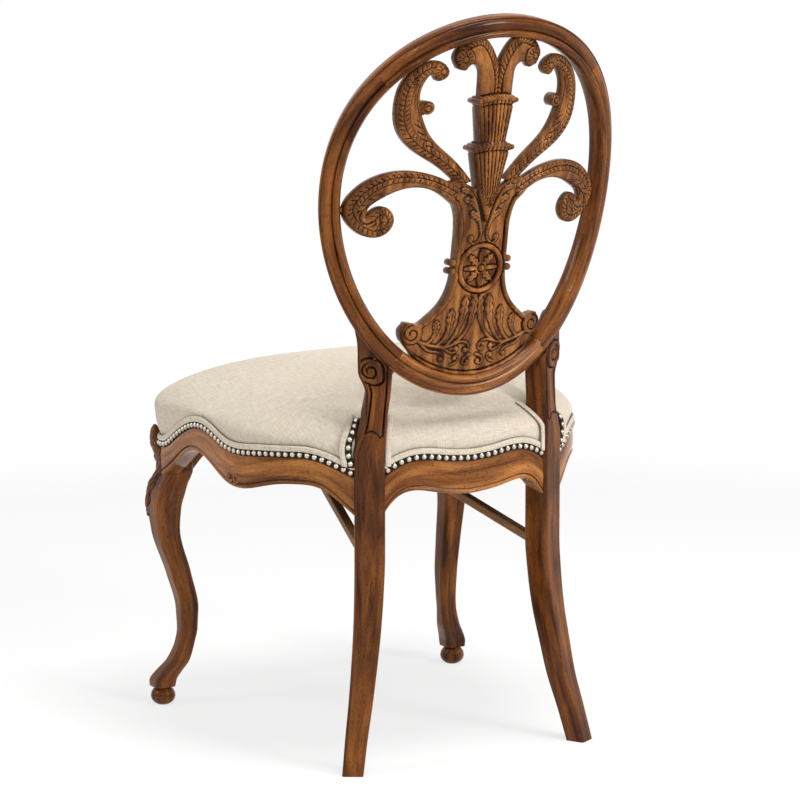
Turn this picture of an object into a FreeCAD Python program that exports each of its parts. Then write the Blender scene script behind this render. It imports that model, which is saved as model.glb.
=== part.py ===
import FreeCAD, Part
import math
import os

# Oval back side chair. Millimetres, +Z up. The chair faces -Y, the sitter's left is +X,
# and the origin is on the floor below the middle of the chair.

os.makedirs("parts", exist_ok=True)
Vec = FreeCAD.Vector
UP = Vec(0, 0, 1)

# The back: an oval frame on a surface that leans backward and is bowed in plan
BACK_Y = 205.0
BACK_Z = 620.0
BACK_LEAN = 0.172
BOW_RADIUS = 470.0
OVAL_CENTRE_Z = 793.6
OVAL_HALF_WIDTH = 228.0
OVAL_HALF_HEIGHT = 268.6
OVAL_EGG = 0.11
OVAL_SHOULDER = 0.05
OVAL_FACE = 28.0
OVAL_DEPTH = 30.0
OVAL_ROUND = 8.0
CREST_JOINT = 46.6
SHOE_JOINT = -54.9
POST_SPAN = (-85.0, -20.0, 10)
ROOM_REACH = 60.0
JOINT_PLAY = 0.05
SPLAT_THICKNESS = 18.0
SPLAT_OFFSET = -4.0
BOARD_JOINT_X = 43.0
FEATHER_REACH = 70.5
FEATHER_FOOT_Z = 986.0

# The seat frame's plan, along the outer faces of its rails
BACK_RAIL_Y = 201.6
SIDE_START = (166.0, 163.0)
SIDE_ARC_RADIUS = 235.0
SIDE_ARC_ANGLE = 56.0
SIDE_FLAT_RADIUS = 4500.0
SIDE_END_Y = -250.0
FRONT_Y = -296.0
FRONT_RADIUS = 3700.0
FRONT_END_X = 224.0
CORNER_CENTRE = (224.4, -250.0)
RAIL_THICKNESS = 27.0
BACK_BLANK_HALF = 138.0
FRONT_BLANK_HALF = 214.0
RAIL_TOP = 455.0
REBATE = 4.0
CORNER_WAVE_Z = 398.0
BLANK_Z = (300.0, 560.0)

# The rails' lower edges and the line where wood meets upholstery, as (place along the rail, height)
BACK_LOWER = [(0, 384), (53, 390), (88, 395), (112, 386), (128, 367), (140, 345)]
BACK_WAVE = [(0, 431), (40, 434), (80, 438), (108, 431), (128, 419), (140, 410)]
SIDE_LOWER = [(185, 330), (163, 362), (138, 394), (108, 402), (74, 398), (18, 384), (-42, 390),
              (-82, 405), (-122, 413), (-162, 405), (-202, 378), (-243, 345)]
SIDE_WAVE = [(185, 400), (163, 416), (130, 437), (92, 439), (46, 435), (-2, 431), (-42, 436),
             (-102, 449), (-152, 440), (-202, 415), (-230, 401), (-252, 398)]
FRONT_LOWER = [(0, 380), (45, 386), (105, 405), (150, 398), (190, 372), (215, 345)]
FRONT_WAVE = [(0, 429), (45, 434), (105, 447), (150, 440), (195, 412), (224, 398)]

# Upholstery: the bands along the wavy line and the crowned pad
COVER_THICKNESS = 1.5
BACK_COVER_HALF = 128.0
STRIP_HEIGHT = 9.0
WELT_HEIGHT = 8.0
WELT_STAND = 2.5
NAIL_DIAMETER = 8.0
NAIL_HEIGHT = 3.0
NAIL_PITCH = 12.0
POST_NAIL_Y = 157.0
POST_NAIL_Z = (435.0, 447.0, 459.0)
POST_GAP = 1.5
CROWN_CENTRE = Vec(0, -60, 0)
CROWN_TOP = 544.0
CROWN_RISE = 79.0
CROWN_SPREAD = 2.2
CROWN_ROUND = 1.4
CROWN_STEPS = (0.985, 0.95, 0.88, 0.75, 0.55, 0.3, 0.08)
DECK_Z = 458.0
SIDE_SWELL = (2.0, 466.0)

# Rear legs: height, outer back edge, width and depth of the canted section
REAR_CANT = math.radians(30.0)
REAR_LOWER = [(0, 206.5, 199.9, 30, 29), (50, 197.1, 191.5, 32, 30), (100, 187.0, 183.3, 34.5, 31.5),
              (150, 179.9, 178.2, 37, 33), (200, 173.8, 173.0, 39.5, 34.5), (250, 170.3, 169.7, 41.5, 35.5),
              (300, 168.6, 167.6, 43, 36)]
REAR_RAIL_ZONE = (300, 445)
REAR_UPPER = [(445, 168.6, 167.6, 43, 36), (494, 155.8, 175.0, 31, 34), (535, 154.0, 176.0, 34, 33),
              (567, 164.0, 170.3, 48, 32), (600, 164.5, 170.0, 50, 32), (640, 170.5, 166.5, 50, 32)]
REAR_ROUND = 4.0

# Front legs: height, centre along the outward diagonal from the foot, extent along it
FRONT_FOOT = (249.0, -281.0)
FRONT_LEG = [(27, 1, 40), (36, 0, 42), (50, -9, 40), (69, -24, 36), (98, -35, 31), (120, -39, 32),
             (147, -39, 35), (202, -26, 39), (267, -6.5, 45), (300, -5, 53), (336, -11, 62), (372, -17, 67)]
FRONT_LEG_ROUND = 8.0
FRONT_BLOCK_TOP = 450.0
BALL_RADIUS = 18.5
BALL_FLAT = 9.0

# Seat frame fittings and fasteners
BLOCK_Z = (425.0, 453.0)
FRONT_BLOCK = [(250, -165), (250, -268), (145, -268)]
REAR_BLOCK = [(55, 185), (150, 185), (215, 120), (205, 70)]
SCREW_Z = 439.0
SCREWS = [((196, -205), (245, -205)), ((165, -238), (165, -286)),
          ((180, 103), (222, 78)), ((90, 160), (93, 190))]
SCREW_RADIUS = 2.2
SCREW_HEAD = (4.5, 3.0)
BRACE_REAR = Vec(136.3, 147.0, 292.5)
BRACE_FRONT = Vec(39.5, -270.0, 408.0)
BRACE_SIZE = 13.0
BRACE_ROUND = 2.5
BRACE_TENON = 20.0
DOWEL_RADIUS = 4.0
DOWEL_LENGTH = 40.0
RAIL_DOWELS = [((250, -240, 380), (0, 1, 0)), ((250, -240, 416), (0, 1, 0)),
               ((212, -280, 380), (1, 0, 0)), ((212, -280, 416), (1, 0, 0)),
               ((158, 152, 392), (0.83, -0.56, 0)), ((158, 152, 428), (0.83, -0.56, 0)),
               ((122, 172, 392), (1, -0.28, 0)), ((122, 172, 428), (1, -0.28, 0))]
POST_DOWELS = (-57.5, -50.0)
POST_DOWEL_SHIFT = 16.0
JOINT_DOWEL_SIDES = (-6.5, 6.5)
SPLAT_DOWELS = [((38, 556), (0, 0.172, 1)), ((38, 1031), (0, 0.172, 1)), ((201, 797), (1, -0.47, 0))]
SPLAT_DOWEL_RADIUS = 3.0
SPLAT_DOWEL_LENGTH = 26.0
FOOT_DOWEL_RADIUS = 5.0
FOOT_DOWEL_Z = (8.0, 46.0)
WEB_WIDTH = 50.0
WEB_THICKNESS = 1.5
WEB_PITCH = 81.0
WEB_INSET = 9.0
WEB_CENTRE_Y = -55.0
WEB_REACH = 600.0
DUST_THICKNESS = 0.8
DUST_GAP = 1.0

# The splat's outlines on the back's surface, +X side, as (x, z)
VASE = [(0, 545), (30, 549), (52, 557), (76, 573), (94, 592), (106, 608), (110, 621), (107, 632),
        (99, 635), (88, 632), (73, 641), (59, 655), (50, 671), (46, 689), (44.5, 720), (44.5, 745),
        (46, 784), (50, 800), (62, 813), (56, 834), (40, 832), (20, 822), (0, 815)]
LOWER_FROND_OUTER = [(40, 822), (71, 839), (98, 848), (130, 851), (162, 843), (191, 822), (202, 797),
                     (192, 777), (171, 761), (152, 757)]
LOWER_FROND_INNER = [(152, 757), (136, 764), (130, 782), (138, 800), (153, 804.5), (158, 811), (139, 823.5),
                     (110, 827.5), (80, 821), (50, 800)]
UPPER_FROND_OUTER = [(43, 826), (80, 857), (114, 879), (137, 907), (142.5, 943), (136, 973), (116, 996),
                     (94, 1003.5), (77, 995), (73, 984), (79, 976.5)]
UPPER_FROND_INNER = [(79, 976.5), (90, 975.5), (96, 984), (106, 974), (111, 955), (105, 925), (89, 895),
                     (57, 866), (25, 832)]
SMALL_SCROLL = (101.5, 938.5, 9.5)
FEATHER_OUTER = [(0, 940), (0.3, 985), (8, 1012), (27, 1033), (52, 1029), (67.5, 1007), (61, 991)]
FEATHER_INNER = [(61, 991), (48, 988.5), (41, 995.5), (32, 993), (26.5, 975), (25.5, 940)]
UPPER_CUP = [(-38.5, 942), (-30, 949), (0, 952), (30, 949), (38.5, 942), (24, 880), (-24, 880)]
LOWER_CUP = [(-38.5, 876), (-30, 884), (0, 888), (30, 884), (38.5, 876), (17, 815), (0, 778), (-17, 815)]
ROUNDEL = (0, 707.5, 36.0)
ROUNDEL_STAND = 3.5


# Small helpers

def line(a, b):
    return Part.LineSegment(a, b).toShape()


def arc(a, b, c):
    return Part.Arc(a, b, c).toShape()


def spline(points):
    curve = Part.BSplineCurve()
    curve.interpolate(points)
    return curve.toShape()


def rounded_wire(corners, radius):
    """Closed wire through the corners, each rounded by an arc."""
    edges = []
    count = len(corners)
    starts = []
    ends = []
    for i in range(count):
        here = corners[i]
        before = (corners[i - 1] - here).normalize()
        after = (corners[(i + 1) % count] - here).normalize()
        half = before.getAngle(after) / 2
        reach = radius / math.tan(half)
        middle = (before + after).normalize() * (radius / math.sin(half) - radius)
        starts.append(here + before * reach)
        ends.append(here + after * reach)
        edges.append(arc(starts[i], here + middle, ends[i]))
    for i in range(count):
        edges.append(line(ends[i], starts[(i + 1) % count]))
    return Part.Wire(Part.__sortEdges__(edges))


def loft(wires):
    return Part.makeLoft(wires, True)


def mirrored(shape):
    return shape.mirror(Vec(0, 0, 0), Vec(1, 0, 0))


def cylinder(start, end, radius):
    axis = end - start
    return Part.makeCylinder(radius, axis.Length, start, axis)


def dowel(middle, axis, radius=DOWEL_RADIUS, length=DOWEL_LENGTH):
    half = axis.normalize() * (length / 2)
    return cylinder(middle - half, middle + half, radius)


def largest(shape):
    return max(shape.Solids, key=lambda solid: solid.Volume)


def extruded(edges, along):
    return Part.Face(Part.Wire(edges)).extrude(along)


# The back's surface

def back_sag(x):
    return BOW_RADIUS - math.sqrt(BOW_RADIUS ** 2 - x * x)


def back_point(x, z):
    return Vec(x, BACK_Y + BACK_LEAN * (z - BACK_Z) - back_sag(x), z)


def back_normal(x):
    slope = -x / math.sqrt(BOW_RADIUS ** 2 - x * x)
    return Vec(-slope, 1, -BACK_LEAN).normalize()


def oval_outline(degrees):
    """Place and direction of the oval's outer edge in X and Z: an ellipse that is fuller above."""
    turn = math.radians(degrees)
    rise = math.sin(turn)
    reach = math.cos(turn)
    swell = 1 + OVAL_EGG * rise + OVAL_SHOULDER * rise * rise
    x = OVAL_HALF_WIDTH * reach * swell
    z = OVAL_CENTRE_Z + OVAL_HALF_HEIGHT * rise
    dx = OVAL_HALF_WIDTH * (reach * reach * (OVAL_EGG + 2 * OVAL_SHOULDER * rise) - rise * swell)
    dz = OVAL_HALF_HEIGHT * reach
    return x, z, dx, dz


def oval_frame(degrees):
    """Middle point, outward, normal and tangent directions on the oval's centre line."""
    x, z, dx, dz = oval_outline(degrees)
    normal = back_normal(x)
    slope = -x / math.sqrt(BOW_RADIUS ** 2 - x * x)
    tangent = Vec(dx, BACK_LEAN * dz + slope * dx, dz).normalize()
    outward = normal.cross(tangent).normalize()
    return back_point(x, z) - outward * (OVAL_FACE / 2), outward, normal, tangent


def oval_section(degrees):
    middle, outward, normal, _ = oval_frame(degrees)
    u = outward * (OVAL_FACE / 2)
    v = normal * (OVAL_DEPTH / 2)
    return rounded_wire([middle + u + v, middle - u + v, middle - u - v, middle + u - v], OVAL_ROUND)


def oval_arc(start, end, count):
    return loft([oval_section(start + (end - start) * i / count) for i in range(count + 1)])


def oval_room():
    """Room for the oval in a rear leg: its outer face carried past its depth and well inward."""
    start, end, count = POST_SPAN
    wires = []
    for i in range(count + 1):
        middle, outward, normal, _ = oval_frame(start + (end - start) * i / count)
        outer = middle + outward * (OVAL_FACE / 2 + JOINT_PLAY)
        inner = middle - outward * ROOM_REACH
        v = normal * ROOM_REACH
        wires.append(Part.makePolygon([outer + v, inner + v, inner - v, outer - v, outer + v]))
    return loft(wires)


def back_slab(thickness, offset):
    """The back's surface thickened along Y, from below the oval to above it."""
    low = 500.0
    rise = 580.0
    reach = 240.0
    rows = []
    for shift in (offset - thickness / 2, offset + thickness / 2):
        rows.append([back_point(x, low) + Vec(0, shift, 0) for x in (-reach, 0, reach)])
    front, rear = rows
    edges = [arc(*front), line(front[2], rear[2]), arc(*rear[::-1]), line(rear[0], front[0])]
    return extruded(edges, Vec(0, BACK_LEAN * rise, rise))


def flat_prism(edges):
    """Prism along Y from an outline in X and Z."""
    return extruded(edges, Vec(0, 260, 0))


def on_plane(points):
    return [Vec(x, 80, z) for x, z in points]


def ribbon(outer, inner):
    a = on_plane(outer)
    b = on_plane(inner)
    edges = [spline(a), spline(b)]
    if (a[0] - b[-1]).Length > 0.01:
        edges.append(line(b[-1], a[0]))
    return flat_prism(edges)


def polygon_prism(points):
    p = on_plane(points)
    return flat_prism([line(p[i], p[(i + 1) % len(p)]) for i in range(len(p))])


def disc_prism(x, z, radius):
    return Part.makeCylinder(radius, 260, Vec(x, 80, z), Vec(0, 1, 0))


def make_splat():
    vase_half = on_plane(VASE)
    vase = flat_prism([spline(vase_half[:11]), spline(vase_half[10:20]), spline(vase_half[19:]),
                       line(vase_half[-1], vase_half[0])])
    half = vase.fuse([ribbon(LOWER_FROND_OUTER, LOWER_FROND_INNER),
                      ribbon(UPPER_FROND_OUTER, UPPER_FROND_INNER),
                      disc_prism(*SMALL_SCROLL),
                      ribbon(FEATHER_OUTER, FEATHER_INNER)])
    fret = half.fuse([mirrored(half), polygon_prism(UPPER_CUP), polygon_prism(LOWER_CUP)])
    splat = fret.common(back_slab(SPLAT_THICKNESS, SPLAT_OFFSET))
    boss = disc_prism(*ROUNDEL).common(back_slab(SPLAT_THICKNESS + 2 * ROUNDEL_STAND, SPLAT_OFFSET))
    return splat.fuse(boss)


# The seat frame's plan

def side_plan(offset, end_y=SIDE_END_Y, extra=0.0):
    """Arc and long arc of a side rail's face, moved outward by offset, from rear to front."""
    start = math.radians(SIDE_ARC_ANGLE + extra)
    zero = math.radians(SIDE_ARC_ANGLE)
    cx = SIDE_START[0] - SIDE_ARC_RADIUS * math.cos(zero)
    cy = SIDE_START[1] - SIDE_ARC_RADIUS * math.sin(zero)
    r = SIDE_ARC_RADIUS + offset
    rear = [Vec(cx + r * math.cos(t), cy + r * math.sin(t), 0) for t in (start, start / 2, 0)]
    flat_x = cx + r
    drop = cy - end_y
    front = [rear[2]]
    for part in (0.5, 1.0):
        d = drop * part
        front.append(Vec(flat_x - d * d / (2 * SIDE_FLAT_RADIUS), cy - d, 0))
    return rear, front


def back_plan(offset, half=140.0):
    r = BOW_RADIUS + offset
    y0 = BACK_RAIL_Y - BOW_RADIUS
    return [Vec(x, y0 + math.sqrt(r * r - x * x), 0) for x in (-half, 0, half)]


def front_plan(offset, half=FRONT_END_X):
    return [Vec(x, FRONT_Y - offset + x * x / (2 * FRONT_RADIUS), 0) for x in (half, 0, -half)]


def corner_plan(offset):
    """Front left corner, between the ends of the side and the front outlines."""
    start = side_plan(offset)[1][2]
    end = front_plan(offset)[0]
    centre = Vec(*CORNER_CENTRE, 0)
    reach = ((start - centre).Length + (end - centre).Length) / 2
    diagonal = Vec(1, -1, 0).normalize()
    return [start, centre + diagonal * reach, end]


def ring(inner, outer):
    """Tall blank between two plan lines, each a list of arcs given as point triples."""
    low, high = BLANK_Z
    edges = [arc(*a) for a in inner] + [line(inner[-1][2], outer[-1][2])]
    edges += [arc(*a) for a in outer] + [line(inner[0][0], outer[0][0])]
    face = Part.Face(Part.Wire(Part.__sortEdges__(edges)))
    face.translate(UP * low)
    return face.extrude(UP * (high - low))


def side_ring(inner, outer, extra=0.0, end_y=SIDE_END_Y):
    return ring(side_plan(inner, end_y, extra), side_plan(outer, end_y, extra))


def back_ring(inner, outer, half=140.0):
    return ring([back_plan(inner, half)], [back_plan(outer, half)])


def front_ring(inner, outer, half=FRONT_END_X):
    return ring([front_plan(inner, half)], [front_plan(outer, half)])


def corner_ring(inner, outer):
    return ring([corner_plan(inner)], [corner_plan(outer)])


def profile(points, low, high, across):
    """Prism between two wavy lines; across is 'x' for rails along X and 'y' for side rails."""
    def place(s, z):
        return Vec(s, -400, z) if across == "x" else Vec(0, s, z)

    def wave(shift):
        return [place(s, z + shift) for s, z in points]

    bottom = wave(low)
    top = wave(high) if isinstance(high, float) else [place(s, z) for s, z in high]
    edges = [spline(bottom), line(bottom[-1], top[-1]), spline(top), line(top[0], bottom[0])]
    return extruded(edges, Vec(0, 800, 0) if across == "x" else Vec(400, 0, 0))


def both_halves(points):
    return [(-s, z) for s, z in points[:0:-1]] + points


def flat_top(points, z):
    return [(s, z) for s, _ in points]


def back_band(low, high):
    return profile(both_halves(BACK_WAVE), low, high, "x")


def front_band(low, high):
    return profile(both_halves(FRONT_WAVE), low, high, "x")


def side_band(low, high):
    return profile(SIDE_WAVE, low, high, "y")


def corner_band(low, high):
    return Part.makeBox(200, 200, high - low, Vec(200, -320, CORNER_WAVE_Z + low))


def left_band(inner, outer, low, high):
    """One band of the upholstery's edge along the left side and round the front corner."""
    side = side_ring(inner, outer).common(side_band(low, high))
    corner = corner_ring(inner, outer).common(corner_band(low, high))
    return side.fuse(corner).removeSplitter()


def rebate_cutter():
    """What is taken off the frame so that the upholstery's edge sits flush with the wood."""
    rise = 120.0
    left = [side_ring(-REBATE, 40, extra=2.0).common(side_band(0.0, rise)),
            corner_ring(-REBATE, 40).common(corner_band(0.0, rise))]
    middle = [back_ring(-REBATE, 40).common(back_band(0.0, rise)),
              front_ring(-REBATE, 40).common(front_band(0.0, rise))]
    return left, middle


# Rear legs

def canted_section(z, x, y, width, depth, grow=0.0):
    across = Vec(-math.cos(REAR_CANT), math.sin(REAR_CANT), 0)
    inward = Vec(-math.sin(REAR_CANT), -math.cos(REAR_CANT), 0)
    corner = Vec(x, y, z) - (across + inward) * grow
    w = across * (width + 2 * grow)
    d = inward * (depth + 2 * grow)
    return rounded_wire([corner, corner + w, corner + w + d, corner + d], REAR_ROUND)


def make_rear_leg(grow=0.0):
    lower = loft([canted_section(*row, grow) for row in REAR_LOWER])
    low, high = REAR_RAIL_ZONE
    zone = Part.Face(canted_section(*REAR_LOWER[-1], grow)).extrude(UP * (high - low))
    upper = loft([canted_section(*row, grow) for row in REAR_UPPER])
    return lower.fuse([zone, upper]).removeSplitter()


# Front legs

def diagonal_section(z, centre, extent):
    step = centre / math.sqrt(2)
    side = (extent + 2 * FRONT_LEG_ROUND * (math.sqrt(2) - 1)) / math.sqrt(2)
    x = FRONT_FOOT[0] + step
    y = FRONT_FOOT[1] - step
    h = side / 2
    corners = [Vec(x - h, y - h, z), Vec(x + h, y - h, z), Vec(x + h, y + h, z), Vec(x - h, y + h, z)]
    return rounded_wire(corners, FRONT_LEG_ROUND)


def make_front_leg():
    leg = loft([diagonal_section(*row) for row in FRONT_LEG])
    z, centre, extent = FRONT_LEG[-1]
    block = Part.Face(diagonal_section(z, centre, extent)).extrude(UP * (FRONT_BLOCK_TOP - z))
    return leg.fuse(block).removeSplitter()


def make_ball_foot():
    """Turned bun foot with a flat underside, below the leg's pad."""
    height = FRONT_LEG[0][0]
    half = height / 2
    points = [Vec(0, 0, 0), Vec(BALL_FLAT, 0, 0), Vec(BALL_RADIUS, 0, half), Vec(BALL_FLAT, 0, height),
              Vec(0, 0, height)]
    bulge = half * 0.45
    edges = [line(points[0], points[1]),
             arc(points[1], Vec(BALL_RADIUS - 2.6, 0, half - bulge), points[2]),
             arc(points[2], Vec(BALL_RADIUS - 2.6, 0, half + bulge), points[3]),
             line(points[3], points[4]), line(points[4], points[0])]
    ball = Part.Face(Part.Wire(edges)).revolve(Vec(0, 0, 0), UP, 360)
    ball.translate(Vec(*FRONT_FOOT, 0))
    return ball


# Rails

def make_back_rail():
    rows = both_halves(BACK_LOWER)
    blank = back_ring(-RAIL_THICKNESS, 0, BACK_BLANK_HALF)
    return blank.common(profile(rows, 0.0, flat_top(rows, RAIL_TOP), "x"))


def make_side_rail():
    end_y = FRONT_FOOT[1] - FRONT_LEG[-1][1] / math.sqrt(2)
    blank = side_ring(-RAIL_THICKNESS, 0, extra=3.0, end_y=end_y)
    return blank.common(profile(SIDE_LOWER, 0.0, flat_top(SIDE_LOWER, RAIL_TOP), "y"))


def make_front_rail():
    rows = both_halves(FRONT_LOWER)
    blank = front_ring(-RAIL_THICKNESS, 0, FRONT_BLANK_HALF)
    return blank.common(profile(rows, 0.0, flat_top(rows, RAIL_TOP), "x"))


# Upholstery

def seat_outline(offset, z, scale=1.0):
    """Closed plan of the seat, from the back arc round the left side to the front and back again."""
    back = back_plan(offset, BACK_COVER_HALF)
    rear, side = side_plan(offset)
    left = [[back[2], rear[0]], rear, side, corner_plan(offset)]
    right = [[Vec(-p.x, p.y, 0) for p in run[::-1]] for run in left[::-1]]
    edges = []
    for run in [back] + left + [front_plan(offset)] + right:
        placed = [CROWN_CENTRE + (p - CROWN_CENTRE) * scale + UP * z for p in run]
        edges.append(line(*placed) if len(placed) == 2 else arc(*placed))
    return Part.Wire(edges)


def crown_height(scale):
    return CROWN_TOP - CROWN_RISE * (1 - (1 - scale ** CROWN_SPREAD) ** (1 / CROWN_ROUND))


def crowned_pad(inset):
    """Pad above the deck with drawn-in sides and a crowned top, inset from the cover's outer face."""
    low = -COVER_THICKNESS - inset
    swell, swell_z = SIDE_SWELL
    sides = [seat_outline(low, DECK_Z), seat_outline(low + swell, swell_z)]
    top = [seat_outline(low + swell, crown_height(scale) - inset, scale) for scale in CROWN_STEPS]
    return loft(sides + top)


def cover_skirt(posts_room):
    """The cover's edge, pulled down over the rails to the wavy line."""
    inner = -2 * COVER_THICKNESS
    outer = -COVER_THICKNESS
    back_rows = both_halves(BACK_WAVE)
    front_rows = both_halves(FRONT_WAVE)
    left = [side_ring(inner, outer).common(profile(SIDE_WAVE, 0.0, flat_top(SIDE_WAVE, DECK_Z), "y")),
            corner_ring(inner, outer).common(corner_band(0.0, DECK_Z - CORNER_WAVE_Z))]
    middle = [back_ring(inner, outer).common(profile(back_rows, 0.0, flat_top(back_rows, DECK_Z), "x")),
              front_ring(inner, outer).common(profile(front_rows, 0.0, flat_top(front_rows, DECK_Z), "x"))]
    pieces = [piece.cut(posts_room) for piece in left + middle]
    return pieces + [mirrored(piece) for piece in pieces[:2]]


def nail(point, normal):
    head = Part.makeSphere(NAIL_DIAMETER / 2, Vec(0, 0, 0), UP, 0, 90, 360)
    squeeze = FreeCAD.Matrix()
    squeeze.scale(1, 1, NAIL_HEIGHT / (NAIL_DIAMETER / 2))
    head = head.transformGeometry(squeeze)
    head.Placement = FreeCAD.Placement(point, FreeCAD.Rotation(UP, normal))
    return head


def walk(points, pitch):
    """Evenly spaced places along a polyline, half a pitch in from both ends."""
    lengths = [(points[i + 1] - points[i]).Length for i in range(len(points) - 1)]
    total = sum(lengths)
    count = round(total / pitch)
    places = []
    for k in range(count):
        left = total * (k + 0.5) / count
        i = 0
        while left > lengths[i]:
            left -= lengths[i]
            i += 1
        places.append(points[i] + (points[i + 1] - points[i]) * (left / lengths[i]))
    return places


def nails_on_face(points, normal_of):
    return Part.makeCompound([nail(p, normal_of(p)) for p in walk(points, NAIL_PITCH)])


def wave_line(points, plan_point, count=80):
    """Points of the nail line: the wavy line raised to the middle of the strip."""
    flat = [Vec(s, 0, z + STRIP_HEIGHT / 2) for s, z in points]
    curve = Part.BSplineCurve()
    curve.interpolate(flat)
    return [plan_point(p.x, p.z) for p in curve.discretize(count)]


def back_nails():
    inside = [row for row in BACK_WAVE if row[0] <= BACK_COVER_HALF]
    y0 = BACK_RAIL_Y - BOW_RADIUS

    def place(s, z):
        return Vec(s, y0 + math.sqrt(BOW_RADIUS ** 2 - s * s), z)

    def normal(p):
        return Vec(p.x, p.y - y0, 0).normalize()

    return nails_on_face(wave_line(both_halves(inside), place), normal)


def front_nails():
    def place(s, z):
        return Vec(s, FRONT_Y + s * s / (2 * FRONT_RADIUS), z)

    def normal(p):
        return Vec(p.x / FRONT_RADIUS, -1, 0).normalize()

    return nails_on_face(wave_line(both_halves(FRONT_WAVE), place), normal)


def side_nails():
    zero = math.radians(SIDE_ARC_ANGLE)
    cx = SIDE_START[0] - SIDE_ARC_RADIUS * math.cos(zero)
    cy = SIDE_START[1] - SIDE_ARC_RADIUS * math.sin(zero)

    def place(y, z):
        if y > cy:
            return Vec(cx + math.sqrt(SIDE_ARC_RADIUS ** 2 - (y - cy) ** 2), y, z)
        return Vec(cx + SIDE_ARC_RADIUS - (cy - y) ** 2 / (2 * SIDE_FLAT_RADIUS), y, z)

    def normal(p):
        if p.y > cy:
            return Vec(p.x - cx, p.y - cy, 0).normalize()
        return Vec(1, 0, 0)

    rows = [row for row in SIDE_WAVE if SIDE_END_Y - 5 < row[0] < 180]
    side = nails_on_face(wave_line(rows, place), normal)
    start, middle, end = corner_plan(0)
    lift = Vec(0, 0, CORNER_WAVE_Z + STRIP_HEIGHT / 2)
    bend = [p + lift for p in Part.Arc(start, middle, end).discretize(30)]
    centre = Vec(*CORNER_CENTRE, 0)
    corner = nails_on_face(bend, lambda p: Vec(p.x - centre.x, p.y - centre.y, 0).normalize())
    turned_up = [nail(p, normal(p)) for p in (place(POST_NAIL_Y, z) for z in POST_NAIL_Z)]
    return Part.makeCompound(side.Solids + corner.Solids + turned_up)


# Inner seat pieces

def make_webbing():
    """Straps laid lengthwise on the rails' tops, with a second layer laid crosswise over them."""
    straps = []
    outline = seat_outline(-WEB_INSET - COVER_THICKNESS, RAIL_TOP)
    plan = Part.Face(outline).extrude(UP * (2 * WEB_THICKNESS))
    half = WEB_REACH / 2
    for k in range(-2, 3):
        across = k * WEB_PITCH - WEB_WIDTH / 2
        low = Vec(across, WEB_CENTRE_Y - half, RAIL_TOP)
        high = Vec(-half, WEB_CENTRE_Y + across, RAIL_TOP + WEB_THICKNESS)
        straps.append(Part.makeBox(WEB_WIDTH, WEB_REACH, WEB_THICKNESS, low))
        straps.append(Part.makeBox(WEB_REACH, WEB_WIDTH, WEB_THICKNESS, high))
    return [strap.common(plan) for strap in straps]


def corner_block(points):
    wire = Part.makePolygon([Vec(x, y, BLOCK_Z[0]) for x, y in points + points[:1]])
    return Part.Face(wire).extrude(UP * (BLOCK_Z[1] - BLOCK_Z[0]))


def screw(head_place, tip_place):
    head = Vec(*head_place, SCREW_Z)
    tip = Vec(*tip_place, SCREW_Z)
    head_radius, head_height = SCREW_HEAD
    axis = (tip - head).normalize()
    cone = Part.makeCone(head_radius, SCREW_RADIUS, head_height, head, axis)
    return cone.fuse(cylinder(head + axis * head_height, tip, SCREW_RADIUS)).removeSplitter()


def make_brace():
    along = (BRACE_FRONT - BRACE_REAR).normalize()
    side = along.cross(UP).normalize() * (BRACE_SIZE / 2)
    rise = side.cross(along).normalize() * (BRACE_SIZE / 2)
    start = BRACE_REAR - along * BRACE_TENON
    corners = [start + side + rise, start - side + rise, start - side - rise, start + side - rise]
    return Part.Face(rounded_wire(corners, BRACE_ROUND)).extrude(BRACE_FRONT + along * BRACE_TENON - start)


def post_dowel(angle):
    middle, outward, _, _ = oval_frame(angle)
    return dowel(middle + outward * POST_DOWEL_SHIFT, outward)


def joint_dowels(angle):
    middle, _, normal, tangent = oval_frame(angle)
    return [dowel(middle + normal * side, Vec(tangent)) for side in JOINT_DOWEL_SIDES]


def splat_dowel(place, axis):
    middle = back_point(*place) + Vec(0, SPLAT_OFFSET, 0)
    return dowel(middle, Vec(*axis), SPLAT_DOWEL_RADIUS, SPLAT_DOWEL_LENGTH)


# Build every piece

leg_rear = make_rear_leg()
leg_front = make_front_leg()
rail_back = make_back_rail()
rail_side = make_side_rail()
rail_front = make_front_rail()
crest = oval_arc(CREST_JOINT, 180 - CREST_JOINT, 8)
stile = oval_arc(SHOE_JOINT, CREST_JOINT, 9)
shoe = oval_arc(SHOE_JOINT, -180 - SHOE_JOINT, 6)
stile_right = mirrored(stile)
oval_pieces = [crest, stile, stile_right, shoe]

leg_rear = largest(leg_rear.cut(oval_room()))
legs_rear = [leg_rear, mirrored(leg_rear)]
rail_back = largest(rail_back.cut(legs_rear))
rail_side = largest(rail_side.cut([leg_rear, leg_front]))
rail_front = largest(rail_front.cut([leg_front, mirrored(leg_front)]))

cut_left, cut_middle = rebate_cutter()
rail_back = largest(rail_back.cut(cut_middle[0]))
rail_side = largest(rail_side.cut(cut_left))
rail_front = largest(rail_front.cut(cut_middle[1]))
leg_front = largest(leg_front.cut(cut_left + [cut_middle[1]]))

splat = largest(make_splat().cut(oval_pieces))

# Blocks, braces and dowels
block_front = corner_block(FRONT_BLOCK).cut([leg_front, rail_side, rail_front])
block_front = largest(block_front)
block_rear = corner_block(REAR_BLOCK)
block_rear = largest(block_rear.cut([leg_rear, rail_side, rail_back]))
brace = largest(make_brace().cut([leg_rear, rail_front]))

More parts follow.
